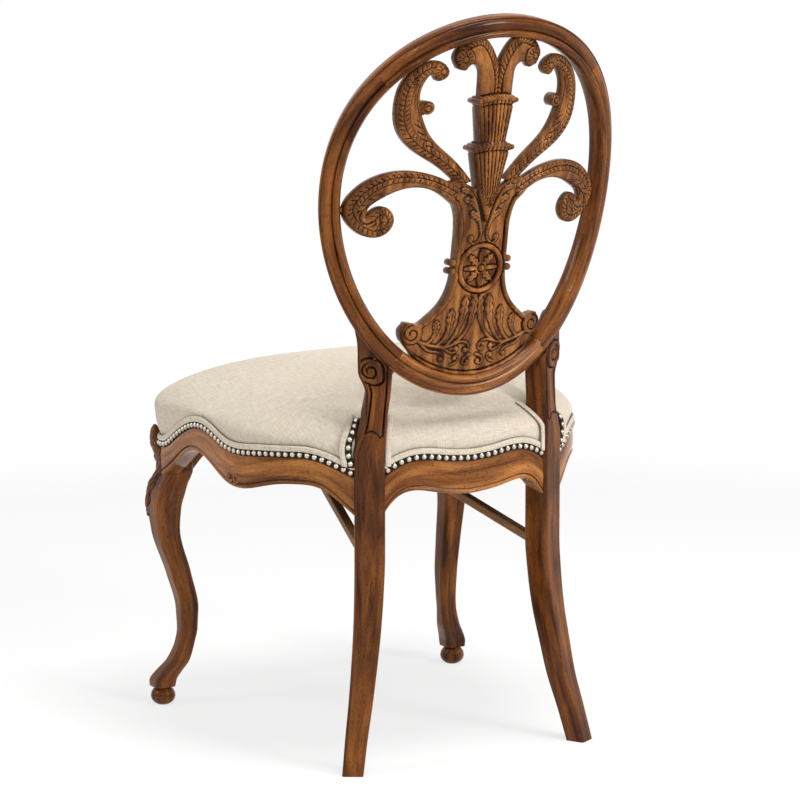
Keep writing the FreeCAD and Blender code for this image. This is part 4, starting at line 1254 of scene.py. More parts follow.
def clear_of_posts(points, room):
    """Points that would lie inside a post are moved out to its skin, towards the middle of the seat."""
    across, inward = rear_axes()
    for flip in (1, -1):
        x, y, width, depth = rear_leg_rows(np.clip(points[:, 2], 300, 560)).T
        away = points[:, :2] * (flip, 1) - np.column_stack((x, y))
        a = away @ across[:2]
        b = away @ inward[:2]
        splay = post_splay(points[:, 2]) * np.clip(b / SPLAY_DEPTH, 0, 1)
        sides = np.column_stack((a + room + splay, width + room - a, depth + room - b))
        inside = (sides > 0).all(axis=1) & (b > -60)
        nearest_side = sides.argmin(axis=1)
        push = sides.min(axis=1) * inside
        moves = np.array((-across, across, inward))[nearest_side] * push[:, None]
        points = points + moves * (flip, 1, 1)
    return points


def cover_skin():
    """The linen over the pad: drawn down to the welt at its edge and crowned on top."""
    low_places, outward, wave = whole_edge()
    places, _, _ = whole_edge(False)
    away = np.hypot(*(np.abs(places) - np.abs(CORNER_TIP)).T) + 400 * (places[:, 1] > 0)
    places = places + outward * (CORNER_SWELL * np.exp(-(away / CORNER_SWELL_SPREAD) ** 2))[:, None]
    top = wave + STRIP_HEIGHT + WELT_HEIGHT
    centre = CROWN_CENTRE
    rows = []
    for scale in np.linspace(0.05, 0.8, 12):
        rows.append(np.column_stack((centre + (places - centre) * scale, np.full(len(places), PAD_FLOOR))))
    rows.append(np.column_stack((low_places - outward * 22, np.maximum(top + 2, PAD_FLOOR))))
    for lift, out in COVER_HEM:
        rows.append(np.column_stack((low_places + outward * out, top + lift)))
    for share in np.linspace(0.15, 1, 8):
        z = top + 4 + (SWELL_Z - top - 4) * share
        spread = low_places + (places - low_places) * math.sin(share * math.pi / 2) ** 0.6
        rows.append(np.column_stack((spread + outward * (-0.2 + 0.7 * share), z)))
    for scale in np.concatenate((np.linspace(0.995, 0.9, 9), np.linspace(0.87, 0.03, 34))):
        z = np.full(len(places), crown_height(scale))
        rows.append(np.column_stack((centre + (places + outward * 0.5 - centre) * scale, z)))
    count = len(places)
    points = clear_of_posts(np.vstack(rows), 1.2)
    faces = [face[::-1] for face in grid_faces(len(rows), count)]
    faces.append(tuple(range((len(rows) - 1) * count, len(rows) * count))[::-1])
    faces.append(tuple(range(count)))
    return points, faces, np.zeros(len(points)), points.copy()


def band_line(run, lift):
    """The wavy line raised square to itself over the rail's face."""
    places, outward, wave = run
    along = lengths_along(places)
    slope = np.gradient(wave, along)
    norm = np.sqrt(1 + slope * slope)
    shifted = along - lift * slope / norm
    x = np.interp(shifted, along, places[:, 0])
    y = np.interp(shifted, along, places[:, 1])
    return np.column_stack((x, y, wave + lift / norm)), np.column_stack((outward, np.zeros(len(outward))))


def band_skin(line, outward, section):
    """A band swept along a line; its section is (up, out, glaze and painted shade) rows."""
    tangent = unit(np.gradient(line, axis=0))
    rise = unit(np.cross(tangent, outward))
    rings = []
    for i in range(len(line)):
        rings.append(line[i] + np.outer(section[:, 0], rise[i]) + np.outer(section[:, 1], outward[i]))
    return swept_skin(rings, np.tile(section[:, 2], len(rings)))


def welt_section():
    """Folded linen band, gently rounded, with a tucked edge above and below, darkened there as painted
    shade in the creases.
    """
    rows = [(-4.2, -1.2, 1.0)]
    for degrees in np.linspace(180, 0, 13):
        turn = math.radians(degrees)
        crease_shade = 1.0 if degrees in (0, 180) else 0.0
        rows.append((4.1 * math.cos(turn), 0.1 + 2.7 * math.sin(turn) ** 0.6, crease_shade))
    rows.append((4.2, -1.2, 1.0))
    return np.array(rows)


def strip_section():
    half = STRIP_HEIGHT / 2 + 0.4
    return np.array([(-half, -1.4, 1), (-half, 0.1, 0.6), (-half + 0.7, 0.7, 0), (0, 0.9, 0),
                     (half - 0.7, 0.7, 0), (half, 0.1, 0.6), (half, -1.4, 1)])


def beside_post(levels, gap, outer):
    """Where the crowned linen meets a post's outer or inner side, a gap away from the wood."""
    across, _ = rear_axes()
    places, outward, _ = seat_edge()
    centre = CROWN_CENTRE
    line = []
    for z in levels:
        x, y, width, _ = rear_leg_rows(np.array((z,)))[0]
        scale = float(crown_scale(np.array(z)))
        ring = centre + (places + outward * 0.3 - centre) * scale
        a = (ring - (x, y)) @ across[:2]
        far = -a - gap - post_splay(z) if outer else a - width - gap
        order = range(40, 100) if outer else range(70, 20, -1)
        spot = next(i for i in order if far[i] > 0)
        before = spot - 1 if outer else spot + 1
        t = far[spot] / (far[spot] - far[before])
        line.append((*(ring[spot] + (ring[before] - ring[spot]) * t), z))
    return np.array(line)


def turned_up(levels, gap, outer):
    """A line up beside a post on the crowned linen, with the outward directions of the linen."""
    line = beside_post(levels, gap, outer)
    outward = unit(line - np.array((*CROWN_CENTRE, 380.0)))
    return line + TURN_UP_LIFT * outward, outward


def mirrored_line(line, outward):
    return line * (-1, 1, 1), outward * (-1, 1, 1)


def both_halves(run):
    """A run from the middle of the chair, continued to the other side."""
    return joined_runs(mirrored_run(run, slice(None, 0, -1)), run)


def edge_lines(lift):
    """Lines of one band of the seat's edge by side, each a list of (line, outward)."""
    runs = edge_runs()
    left = band_line(joined_runs(runs["side"], [values[1:] for values in runs["corner"]]), lift)
    front = both_halves([values[::-1] for values in runs["front"]])
    return {"back": [band_line(both_halves(runs["back"]), lift)], "front": [band_line(front, lift)],
            "left": [left], "right": [mirrored_line(*left)]}


def evenly(line, outward, pitch):
    """Places on a line about a pitch apart, half a pitch in from its ends, with outward directions."""
    along = lengths_along(line)
    count = max(1, round(along[-1] / pitch))
    where = along[-1] * (np.arange(count) + 0.5) / count
    read = [[np.interp(where, along, values[:, k]) for k in range(3)] for values in (line, outward)]
    return np.column_stack(read[0]), unit(np.column_stack(read[1]))


def nail_skin(place, outward, radius, turn):
    """A domed nail head with a rolled rim, turned about its axis."""
    up = unit(np.cross(outward, (0.3, 0.2, 1.0)))
    side = np.cross(up, outward)
    profile = [(1.0, -0.3), (1.03, 0.35), (0.94, 0.75), (0.84, 1.25), (0.66, 2.0), (0.42, 2.6),
               (0.18, 2.95)]
    spokes = 14
    turns = np.linspace(0, 2 * math.pi, spokes, endpoint=False) + turn
    rings = []
    for share, lift in profile:
        ring = np.outer(np.cos(turns), up) + np.outer(np.sin(turns), side)
        rings.append(place + radius * share * ring + lift * outward)
    points = np.vstack(rings)
    faces = [face[::-1] for face in grid_faces(len(profile), spokes)]
    faces.append(tuple(range(spokes)))
    faces.append(tuple(range(len(profile) * spokes - 1, (len(profile) - 1) * spokes - 1, -1)))
    # Painted shade: each dome darkens from its top towards its rim
    glaze_and_shade = np.repeat(np.linspace(0.9, 0.0, len(profile)), spokes)
    return points, faces, glaze_and_shade, points.copy()


def edge_at(points):
    """Plan distance from the crown's centre, the seat's reach that way, and the welt's top edge there."""
    places, outward, wave = whole_edge(False)
    away = places + outward * 0.5 - CROWN_CENTRE
    turn = np.arctan2(away[:, 1], away[:, 0])
    order = np.argsort(turn)
    here = points[:, :2] - CROWN_CENTRE
    where = np.arctan2(here[:, 1], here[:, 0])
    reach = np.interp(where, turn[order], np.hypot(*away.T)[order], period=2 * math.pi)
    top = np.interp(where, turn[order], (wave + STRIP_HEIGHT + WELT_HEIGHT)[order], period=2 * math.pi)
    return np.hypot(*here.T), reach, top


def linen_lay(points):
    """Where each point of the cover lay on the flat cloth, so that the weave runs over the seat's edge."""
    away, reach, _ = edge_at(points)
    scales = np.linspace(0, 1, 160)
    heights = crown_height(scales)
    steps = np.hypot(np.diff(scales) * reach.mean(), np.diff(heights))
    drawn = np.concatenate(([0.0], np.cumsum(steps))) / reach.mean()
    flat = np.interp(away / reach, scales, drawn) * reach + np.clip(SWELL_Z - points[:, 2], 0, None)
    along = (points[:, :2] - CROWN_CENTRE) / np.maximum(away, 0.5)[:, None]
    return np.column_stack((along * flat[:, None], np.zeros(len(points))))


def turn_ups(levels, gap, outer):
    """A band's turned-up ends beside the posts: outside for the side bands, inside for the back one."""
    line = turned_up(levels, gap, outer)
    if outer:
        return {"left": [line], "right": [mirrored_line(*line)]}
    return {"back": [line, mirrored_line(*line)]}


def tape_lines():
    """Lines of the dark tape and its nails by side, with their turned-up ends."""
    lines = edge_lines(STRIP_HEIGHT / 2)
    for side, ends in turn_ups(TURN_UP_TAPE, TAPE_GAP, True).items():
        lines[side] += ends
    return lines


def welt_lines():
    """Lines of the linen welt by side, with their turned-up ends."""
    lines = edge_lines(STRIP_HEIGHT + WELT_HEIGHT / 2)
    for outer, gap in WELT_GAP.items():
        for side, ends in turn_ups(TURN_UP_WELT, gap, outer).items():
            lines[side] += ends
    return lines


def swell_cover(context, cover):
    """Remeshes the cover as cloth, lets pressure swell it while its edge is held, and smooths it."""
    remesh = cover.modifiers.new("remesh", "REMESH")
    remesh.mode = "VOXEL"
    remesh.voxel_size = COVER_VOXEL * MM
    apply_modifiers(context, cover)
    start = mesh_points(cover.data)
    _, _, top = edge_at(start)
    beside = np.abs(clear_of_posts(start, HELD_BESIDE_POST) - start).max(axis=1) > 0
    low = np.maximum(top + HELD_ABOVE_WELT, PAD_FLOOR + HELD_ABOVE_FLOOR)
    held = (start[:, 2] < low) | beside
    group = cover.vertex_groups.new(name="held")
    group.add(np.flatnonzero(held).tolist(), 1.0, "REPLACE")
    cloth = cover.modifiers.new("cloth", "CLOTH")
    cloth.settings.vertex_group_mass = "held"
    cloth.settings.use_pressure = True
    cloth.settings.uniform_pressure_force = CLOTH_PRESSURE
    cloth.settings.effector_weights.gravity = 0.0
    for number in range(1, CLOTH_FRAMES + 1):
        context.scene.frame_set(number)
    apply_modifiers(context, cover)
    context.scene.frame_set(1)
    moved = mesh_points(cover.data) - start
    far = np.linalg.norm(moved, axis=1, keepdims=True)
    start = start + moved * np.minimum(1, SWELL_CAP / np.maximum(far, 1e-6))
    start = clear_of_posts(start, 0.6)
    cover.data.vertices.foreach_set("co", (start * MM).ravel())
    smooth = cover.modifiers.new("even", "CORRECTIVE_SMOOTH")
    smooth.use_only_smooth = True
    smooth.iterations = 6
    finer = cover.modifiers.new("finer", "SUBSURF")
    finer.levels = 1
    finer.render_levels = 1
    apply_modifiers(context, cover)
    mesh = cover.data
    points = mesh_points(mesh)
    for name in ("grain", "glaze_and_shade"):
        if name in mesh.attributes:
            mesh.attributes.remove(mesh.attributes[name])
    put_values(mesh, np.zeros(len(points)), linen_lay(points) * MM)


def mesh_points(mesh):
    places = np.zeros(len(mesh.vertices) * 3)
    mesh.vertices.foreach_get("co", places)
    return places.reshape(-1, 3) / MM


def apply_modifiers(context, piece):
    """Replaces a piece's mesh by what its modifiers make of it."""
    shown = piece.evaluated_get(context.evaluated_depsgraph_get())
    mesh = bpy.data.meshes.new_from_object(shown)
    piece.modifiers.clear()
    piece.data = mesh


def strap_span(value, axis):
    """Where a strap's middle line meets the rails' tops, on one axis at a place along the other."""
    places, outward, _ = whole_edge()
    ring = places - outward * WEB_INSET
    ring = np.vstack((ring, ring[:1]))
    ends = []
    for p, q in zip(ring[:-1], ring[1:]):
        if (p[1 - axis] > value) != (q[1 - axis] > value):
            t = (value - p[1 - axis]) / (q[1 - axis] - p[1 - axis])
            ends.append(p[axis] + t * (q[axis] - p[axis]))
    return min(ends), max(ends)


def webbing_skin():
    """Five straps each way, woven over and under each other."""
    straps = []
    for axis in (0, 1):
        for k in range(-2, 3):
            middle = k * WEB_PITCH + (WEB_MIDDLE_Y if axis == 0 else 0.0)
            low, high = strap_span(middle + math.copysign(WEB_WIDTH / 2, k), axis)
            along = np.linspace(low, high, 70)
            crossing = (along - (0.0 if axis == 0 else WEB_MIDDLE_Y)) / WEB_PITCH
            lift = WEB_WEAVE * np.cos(math.pi * (crossing + k + axis))
            across, up = np.array(WEB_SECTION).T
            rings = np.zeros((len(along), len(across), 3))
            rings[:, :, axis] = along[:, None]
            rings[:, :, 1 - axis] = middle + across * (1 if axis == 1 else -1)
            rings[:, :, 2] = (WEB_Z + lift)[:, None] + up
            points, faces = swept(rings)
            straps.append((points, faces, np.zeros(len(points)), points[:, [axis, 1 - axis, 2]]))
    return joined(straps)


def dust_skin():
    """The cloth under the seat, tacked round its edge and hanging a little in the middle."""
    places, outward, _ = whole_edge()
    edge = (places - outward * (RAIL_THICKNESS + DUST_GAP))[::4]
    centre = CROWN_CENTRE
    rows = []
    for scale in np.linspace(1, 0.04, 26):
        sag = DUST_SAG * (1 - scale ** 1.5)
        rows.append(np.column_stack((centre + (edge - centre) * scale, np.full(len(edge), DUST_Z - sag))))
    count = len(edge)
    points = np.vstack(rows)
    faces = grid_faces(len(rows), count)
    faces.append(tuple(range((len(rows) - 1) * count, len(rows) * count)))
    return points, faces, np.zeros(len(points)), points.copy()


# Shading: one function adds a node

def colour(text):
    """An sRGB hex colour as linear RGBA."""
    values = [int(text[i:i + 2], 16) / 255 for i in (0, 2, 4)]
    return tuple(v / 12.92 if v <= 0.04045 else ((v + 0.055) / 1.055) ** 2.4 for v in values) + (1.0,)


def chosen(name):
    """One of the user's colours as RGBA."""
    return (*getattr(bpy.context.scene.chair_colours, name), 1.0)


def add_node(tree, kind, sockets, out=0, **settings):
    """Adds a node and gives one of its outputs. A socket takes a constant or another node's output."""
    node = tree.nodes.new("ShaderNode" + kind)
    for name, value in settings.items():
        setattr(node, name, value)
    for name, value in sockets.items():
        if isinstance(value, bpy.types.NodeSocket):
            tree.links.new(value, node.inputs[name])
        else:
            node.inputs[name].default_value = value
    return node.outputs[out] if node.outputs else None


def wave_scale(pitch):
    """A wave texture's scale for bands a pitch apart, in metres."""
    return 2 * math.pi / (20 * pitch)


def patterned(tree, pattern, tones, strength, relief, sockets):
    """A surface whose colour and relief follow one pattern; the relief is in metres."""
    tone = add_node(tree, "Mix", {0: pattern, 6: tones[0], 7: tones[1]}, 2, data_type="RGBA")
    bump = add_node(tree, "Bump", {"Height": pattern, "Strength": strength, "Distance": relief})
    return add_node(tree, "BsdfPrincipled", {"Base Color": tone, "Normal": bump, **sockets})


# The walnut's patterns: length along the grain and width across it in metres, and the noise's settings.
# Pores and distressed flecks are 0.3 mm wide on the real wood, and drawn 1.6 mm wide so that they show
WALNUT_PATTERNS = {"growth bands": (0.12, 0.014, {"Detail": 4.0, "Roughness": 0.6, "Distortion": 0.4}),
                   "pores": (0.005, 0.0016, {"Detail": 2.0, "Roughness": 0.5}),
                   "stain patches": (0.11, 0.05, {"Detail": 2.0})}


def walnut(tree, light, mid, most_stain):
    """Walnut, carved, stained, dark glazed in the cuts and rubbed to a satin lacquer; painted shade darkens
    its recesses and edges.

    The eye gets warm streaks along the grain, short dark pores, recesses near black from glaze and painted
    shade, and soft highlights.
    """
    grain = add_node(tree, "Attribute", {}, "Vector", attribute_name="grain")
    glaze_and_shade = add_node(tree, "Attribute", {}, "Fac", attribute_name="glaze_and_shade")
    noise = {}
    for name, (along, across, more) in WALNUT_PATTERNS.items():
        lay = add_node(tree, "Mapping", {"Vector": grain, "Scale": (1 / along, 1 / across, 1 / across)})
        noise[name] = add_node(tree, "TexNoise", {"Vector": lay, "Scale": 1.0, **more})
    figure = add_node(tree, "MapRange", {0: noise["growth bands"], 1: 0.35, 2: 0.65})
    tone = add_node(tree, "Mix", {0: figure, 6: mid, 7: light}, 2, data_type="RGBA")
    # The last layer is dark glaze in the cuts together with painted shade in recesses and along edges
    layers = ((noise["pores"], 0.55, 0.72, 0.7, "wood_dark"),
              (noise["stain patches"], 0.4, 0.72, most_stain, "wood_dark"),
              (glaze_and_shade, 0.0, 1.0, 0.97, "glaze_and_shade"))
    for pattern, low, high, most, dark in layers:
        share = add_node(tree, "MapRange", {0: pattern, 1: low, 2: high, 3: 0.0, 4: most})
        tone = add_node(tree, "Mix", {0: share, 6: tone, 7: chosen(dark)}, 2, data_type="RGBA")
    sheen = add_node(tree, "MapRange", {0: noise["stain patches"], 1: 0.3, 2: 0.7, 3: 0.09, 4: 0.18})
    bump = add_node(tree, "Bump", {"Height": noise["pores"], "Strength": 0.06, "Distance": 0.0005},
                    invert=True)
    return add_node(tree, "BsdfPrincipled", {"Base Color": tone, "Roughness": sheen, "Normal": bump,
                                             "IOR": 1.5, "Specular IOR Level": 0.15})


def frame_walnut(tree):
    return walnut(tree, chosen("wood_light"), chosen("wood_mid"), 0.62)


def light_walnut(tree):
    return walnut(tree, chosen("splat_light"), chosen("splat_mid"), 0.4)


def linen(tree):
    """Oatmeal linen, plain woven: a matt surface with slubs both ways, a fine speckle and painted shade in
    the creases at the welts.

    Threads are 0.6 mm apart on the real cloth; drawn 1.8 mm apart so that the weave shows.
    """
    lay = add_node(tree, "Attribute", {}, "Vector", attribute_name="grain")
    glaze_and_shade = add_node(tree, "Attribute", {}, "Fac", attribute_name="glaze_and_shade")
    pitch = bpy.context.scene.chair_sizes.thread_pitch
    threads = []
    slubs = []
    for direction, scale in (("X", (1 / 0.0016, 1 / 0.018, 1)), ("Y", (1 / 0.018, 1 / 0.0016, 1))):
        wave = {"Vector": lay, "Scale": wave_scale(pitch), "Distortion": 1.2, "Detail": 2.0,
                "Detail Scale": 1.4}
        threads.append(add_node(tree, "TexWave", wave, "Fac", bands_direction=direction))
        stretched = add_node(tree, "Mapping", {"Vector": lay, "Scale": scale})
        slubs.append(add_node(tree, "TexNoise", {"Vector": stretched, "Scale": 1.0, "Detail": 2.0}))
    weave = add_node(tree, "Math", {0: threads[0], 1: threads[1]}, operation="MULTIPLY")
    slub = add_node(tree, "Math", {0: slubs[0], 1: slubs[1]}, operation="ADD")
    both = add_node(tree, "Math", {0: weave, 1: 0.35, 2: slub}, operation="MULTIPLY_ADD")
    tone = add_node(tree, "MapRange", {0: both, 1: 0.72, 2: 1.42})
    cloth = add_node(tree, "Mix", {0: tone, 6: chosen("linen_dark"), 7: chosen("linen_light")}, 2,
                     data_type="RGBA")
    # Painted shade: the linen darkens towards 6E5F48 in the creases along the welts' edges
    tuck = add_node(tree, "MapRange", {0: glaze_and_shade, 1: 0.0, 2: 1.0, 3: 0.0, 4: 0.8})
    shaded = add_node(tree, "Mix", {0: tuck, 6: cloth, 7: colour("6E5F48")}, 2, data_type="RGBA")
    bump = add_node(tree, "Bump", {"Height": both, "Strength": 0.5, "Distance": 0.0007})
    return add_node(tree, "BsdfPrincipled", {"Base Color": shaded, "Roughness": 0.88, "Normal": bump,
                                             "Specular IOR Level": 0.2, "Sheen Weight": 0.15,
                                             "Sheen Roughness": 0.5})


def nail_metal(tree):
    """Steel nail heads, stamped, plated and aged to pewter: bright domes, rims darkened as painted shade,
    and dull spots.
    """
    glaze_and_shade = add_node(tree, "Attribute", {}, "Fac", attribute_name="glaze_and_shade")
    place = add_node(tree, "TexCoord", {}, "Object")
    # Tarnish spots about 2.5 mm across
    spots = add_node(tree, "TexNoise", {"Vector": place, "Scale": 1 / 0.0025, "Detail": 3.0})
    dull = add_node(tree, "MapRange", {0: spots, 1: 0.4, 2: 0.75, 3: 0.0, 4: 0.45})
    # Painted shade on the domes' lower rings, with the tarnish spots, darkens the metal towards 33281E
    rim = add_node(tree, "Math", {0: dull, 1: glaze_and_shade}, operation="MAXIMUM")
    metal = add_node(tree, "Mix", {0: rim, 6: chosen("nail"), 7: colour("33281E")}, 2, data_type="RGBA")
    rough = add_node(tree, "MapRange", {0: spots, 1: 0.3, 2: 0.7, 3: 0.18, 4: 0.32})
    return add_node(tree, "BsdfPrincipled", {"Base Color": metal, "Metallic": 1.0, "Roughness": rough})


def strip_tape(tree):
    """Dark brown woven tape under the nails: matt, with a cross rib about 1.6 mm apart."""
    lay = add_node(tree, "Attribute", {}, "Vector", attribute_name="grain")
    rib = add_node(tree, "TexWave", {"Vector": lay, "Scale": wave_scale(0.0016), "Distortion": 0.8,
                                     "Detail": 2.0}, "Fac", bands_direction="X")
    return patterned(tree, rib, (colour("150D08"), chosen("strip")), 0.5, 0.0004,
                     {"Roughness": 0.8, "Specular IOR Level": 0.2})


def jute(tree):
    """Jute webbing: coarse tan yarns about 2 mm apart, dry and matt."""
    lay = add_node(tree, "Attribute", {}, "Vector", attribute_name="grain")
    yarns = {}
    for k, direction in enumerate("XY"):
        yarns[k] = add_node(tree, "TexWave", {"Vector": lay, "Scale": wave_scale(0.002), "Distortion": 1.0},
                            "Fac", bands_direction=direction)
    weave = add_node(tree, "Math", yarns, operation="MULTIPLY")
    return patterned(tree, weave, (colour("7A6038"), colour("BFA270")), 0.6, 0.0006,
                     {"Roughness": 0.9, "Specular IOR Level": 0.15})


def dust_cambric(tree):
    """Black spun bonded cambric: matt, with a fine fibrous mottle about 3 mm across."""
    place = add_node(tree, "TexCoord", {}, "Object")
    fibre = add_node(tree, "TexNoise", {"Vector": place, "Scale": 1 / 0.003, "Detail": 4.0})
    return patterned(tree, fibre, (colour("171615"), colour("353230")), 0.3, 0.0003,
                     {"Roughness": 0.9, "Specular IOR Level": 0.2})


def sawn_beech(tree):
    """Beech for blocks, braces and dowels, sawn and stained: plain brown, with flecks 6 by 50 mm."""
    place = add_node(tree, "TexCoord", {}, "Object")
    lay = add_node(tree, "Mapping", {"Vector": place, "Scale": (1 / 0.006, 1 / 0.05, 1 / 0.006)})
    fleck = add_node(tree, "TexNoise", {"Vector": lay, "Scale": 1.0, "Detail": 4.0})
    return patterned(tree, fleck, (colour("6B4526"), colour("A87848")), 0.25, 0.0005,
                     {"Roughness": 0.6, "Specular IOR Level": 0.35})


def screw_steel(tree):
    """Zinc plated steel screws: grey metal with a faint yellow bloom about 2 mm across."""
    place = add_node(tree, "TexCoord", {}, "Object")
    bloom = add_node(tree, "TexNoise", {"Vector": place, "Scale": 1 / 0.002, "Detail": 2.0})
    tone = add_node(tree, "Mix", {0: bloom, 6: colour("8E8C86"), 7: colour("C9C3AE")}, 2, data_type="RGBA")
    rough = add_node(tree, "MapRange", {0: bloom, 3: 0.3, 4: 0.5})
    return add_node(tree, "BsdfPrincipled", {"Base Color": tone, "Metallic": 1.0, "Roughness": rough})


def seen_directly(tree):
    """One for what the camera sees, also mirrored or through glass, and nought for falling light."""
    path = add_node(tree, "LightPath", {}).node.outputs
    seen = path["Is Camera Ray"]
    for name in ("Is Glossy Ray", "Is Transmission Ray"):
        seen = add_node(tree, "Math", {0: seen, 1: path[name]}, operation="MAXIMUM")
    return seen


def studio_paper(tree):
    """White paper that keeps the chair's shadow and fades into the white surroundings."""
    place = add_node(tree, "TexCoord", {}, "Object")
    away = add_node(tree, "VectorMath", {0: place}, "Value", operation="LENGTH")
    fade = add_node(tree, "MapRange", {0: away, 1: 0.7, 2: 2.2}, interpolation_type="SMOOTHSTEP")
    seen = seen_directly(tree)
    lift = add_node(tree, "MapRange", {0: seen, 3: 0.0, 4: FLOOR_GLOW})
    fade = add_node(tree, "Math", {0: fade, 1: lift}, operation="MAXIMUM")
    fade = add_node(tree, "Math", {0: fade, 1: seen}, operation="MULTIPLY")
    paper = add_node(tree, "BsdfDiffuse", {"Color": colour("FBFBFA")})
    glow = add_node(tree, "Emission", {"Color": colour("FFFFFF"), "Strength": 1.0})
    return add_node(tree, "MixShader", {0: fade, 1: paper, 2: glow})


MATERIALS = {"walnut_satin_frame": frame_walnut, "walnut_satin_light": light_walnut,
             "oatmeal_linen_seat": linen, "oatmeal_linen_welt": linen, "pewter_nail_steel": nail_metal,
             "woven_tape_dark": strip_tape, "jute_webbing": jute, "dust_cambric_black": dust_cambric,
             "beech_sawn_stained": sawn_beech, "zinc_plated_steel": screw_steel,
             "white_studio_paper": studio_paper}


def finish(name):
    """A material by its name, built at its first use."""
    if name in bpy.data.materials:
        return bpy.data.materials[name]
    material = bpy.data.materials.new(name)
    material.use_nodes = True
    tree = material.node_tree
    tree.nodes.clear()
    add_node(tree, "OutputMaterial", {"Surface": MATERIALS[name](tree)})
    return material


def make_floor(context):
    half = FLOOR_HALF
    corners = [(-half, -half, 0), (half, -half, 0), (half, half, 0), (-half, half, 0)]
    mesh = bpy.data.meshes.new("studio_floor")
    mesh.from_pydata(corners, [], [(0, 1, 2, 3)])
    mesh.materials.append(finish("white_studio_paper"))
    floor = bpy.data.objects.new("studio_floor", mesh)
    context.collection.objects.link(floor)


def make_world(scene):
    """White surroundings to the camera and in reflections, and soft light on the chair."""
    world = bpy.data.worlds.new("white_studio")
    world.use_nodes = True
    tree = world.node_tree
    tree.nodes.clear()
    strength = add_node(tree, "MapRange", {0: seen_directly(tree), 3: WORLD_LIGHT, 4: 1.0})
    glow = add_node(tree, "Background", {"Color": colour("FFFFFF"), "Strength": strength})
    add_node(tree, "OutputWorld", {"Surface": glow})
    scene.world = world


# Sizes and colours that a user would change

def length(name, description, default, low, high):
    """A length in metres that a user may change."""
    return FloatProperty(name=name, description=description, default=default, min=low, max=high,
                         unit="LENGTH")


def shade(name, description, text):
    """A colour that a user may change, its default as sRGB hex."""
    return FloatVectorProperty(name=name, description=description, default=colour(text)[:3],
                               subtype="COLOR", min=0, max=1)


class ChairSizes(bpy.types.PropertyGroup):
    carving_step: length("Carving step", "Spacing of the points on the carved splat", 0.001, 0.0005, 0.004)
    moulding_step: length("Moulding step", "Spacing of the points along the oval", 0.004, 0.001, 0.02)
    nail_width: length("Nail width", "Diameter of a nail head", 0.0080, 0.004, 0.015)
    nail_pitch: length("Nail pitch", "Distance between nails", 0.0112, 0.008, 0.03)
    thread_pitch: length("Thread pitch", "Spacing of the linen's threads as drawn", 0.0018, 0.0005, 0.01)
    pad_fill: FloatProperty(name="Pad fill", description="How tightly the seat is stuffed", default=0.85,
                            min=0.0, max=1.0, subtype="FACTOR")


class ChairColours(bpy.types.PropertyGroup):
    wood_light: shade("Wood, light", "Light streaks of the frame's walnut", "985A26")
    wood_mid: shade("Wood, middle", "Ground colour of the frame's walnut", "4A230C")
    splat_light: shade("Splat, light", "Light streaks of the splat's walnut", "BE7C40")
    splat_mid: shade("Splat, middle", "Ground colour of the splat's walnut", "6C3B18")
    wood_dark: shade("Wood, dark", "Pores and heavier stain", "1C0B04")
    # Near black, for the glaze in the cuts and for painted shade in the walnut's recesses and along its
    # edges
    glaze_and_shade: shade("Glaze", "Dark glaze left in cuts and corners", "0C0402")
    linen_light: shade("Linen, light", "Light threads of the cover", "DED4C5")
    linen_dark: shade("Linen, dark", "Dark threads of the cover", "BEAF99")
    strip: shade("Tape", "Tape under the nails", "2E1E13")
    nail: shade("Nails", "Nail heads", "DDD3C4")


# Operators, one for each group of like pieces

class CHAIR_OT_oval(bpy.types.Operator):
    """Makes the four arcs of the oval"""
    bl_idname = "chair.oval"
    bl_label = "Oval"

    def execute(self, context):
        spacing = context.scene.chair_sizes.moulding_step / MM
        stile = oval_arc_skin(SHOE_JOINT, CREST_JOINT, spacing)
        arcs = {"oval_crest": oval_arc_skin(CREST_JOINT, 180 - CREST_JOINT, spacing),
                "oval_stile_left": stile,
                "oval_stile_right": mirrored_skin(stile),
                "oval_shoe": oval_arc_skin(-180 - SHOE_JOINT, SHOE_JOINT, spacing)}
        for node, skin in arcs.items():
            # The shoe takes the lighter walnut as a painted highlight, for the light its upward faces catch
            wood = "walnut_satin_light" if node == "oval_shoe" else "walnut_satin_frame"
            make_piece("carved_" + node, skin, wood, [node])
        return {"FINISHED"}


class CHAIR_OT_splat(bpy.types.Operator):
    """Makes the three carved boards of the splat"""
    bl_idname = "chair.splat"
    bl_label = "Carved splat"

    def execute(self, context):
        step = context.scene.chair_sizes.carving_step / MM
        wing = board_skin(wing_board, BOARD_JOINT_X - 2 * step, step)
        boards = {"splat_centre_board": board_skin(centre_board, -SPLAT_BOX[0], step),
                  "splat_wing_left": wing,
                  "splat_wing_right": mirrored_skin(wing)}
        for node, skin in boards.items():
            make_piece("carved_" + node, skin, "walnut_satin_light", [node], 55.0)
        return {"FINISHED"}


class CHAIR_OT_rear_legs(bpy.types.Operator):
    """Makes the rear legs with their carved posts"""
    bl_idname = "chair.rear_legs"
    bl_label = "Rear legs"

    def execute(self, context):
        make_pair("carved", "rear_leg", rear_leg_skin())
        return {"FINISHED"}


class CHAIR_OT_front_legs(bpy.types.Operator):
    """Makes the cabriole front legs with carved knees and corner leaves"""
    bl_idname = "chair.front_legs"
    bl_label = "Front legs"

    def execute(self, context):
        make_pair("carved", "front_leg", front_leg_skin())
        return {"FINISHED"}


class CHAIR_OT_ball_feet(bpy.types.Operator):
    """Makes the turned feet under the front legs"""
    bl_idname = "chair.ball_feet"
    bl_label = "Ball feet"

    def execute(self, context):
        make_pair("turned", "ball_foot", ball_foot_skin())
        return {"FINISHED"}


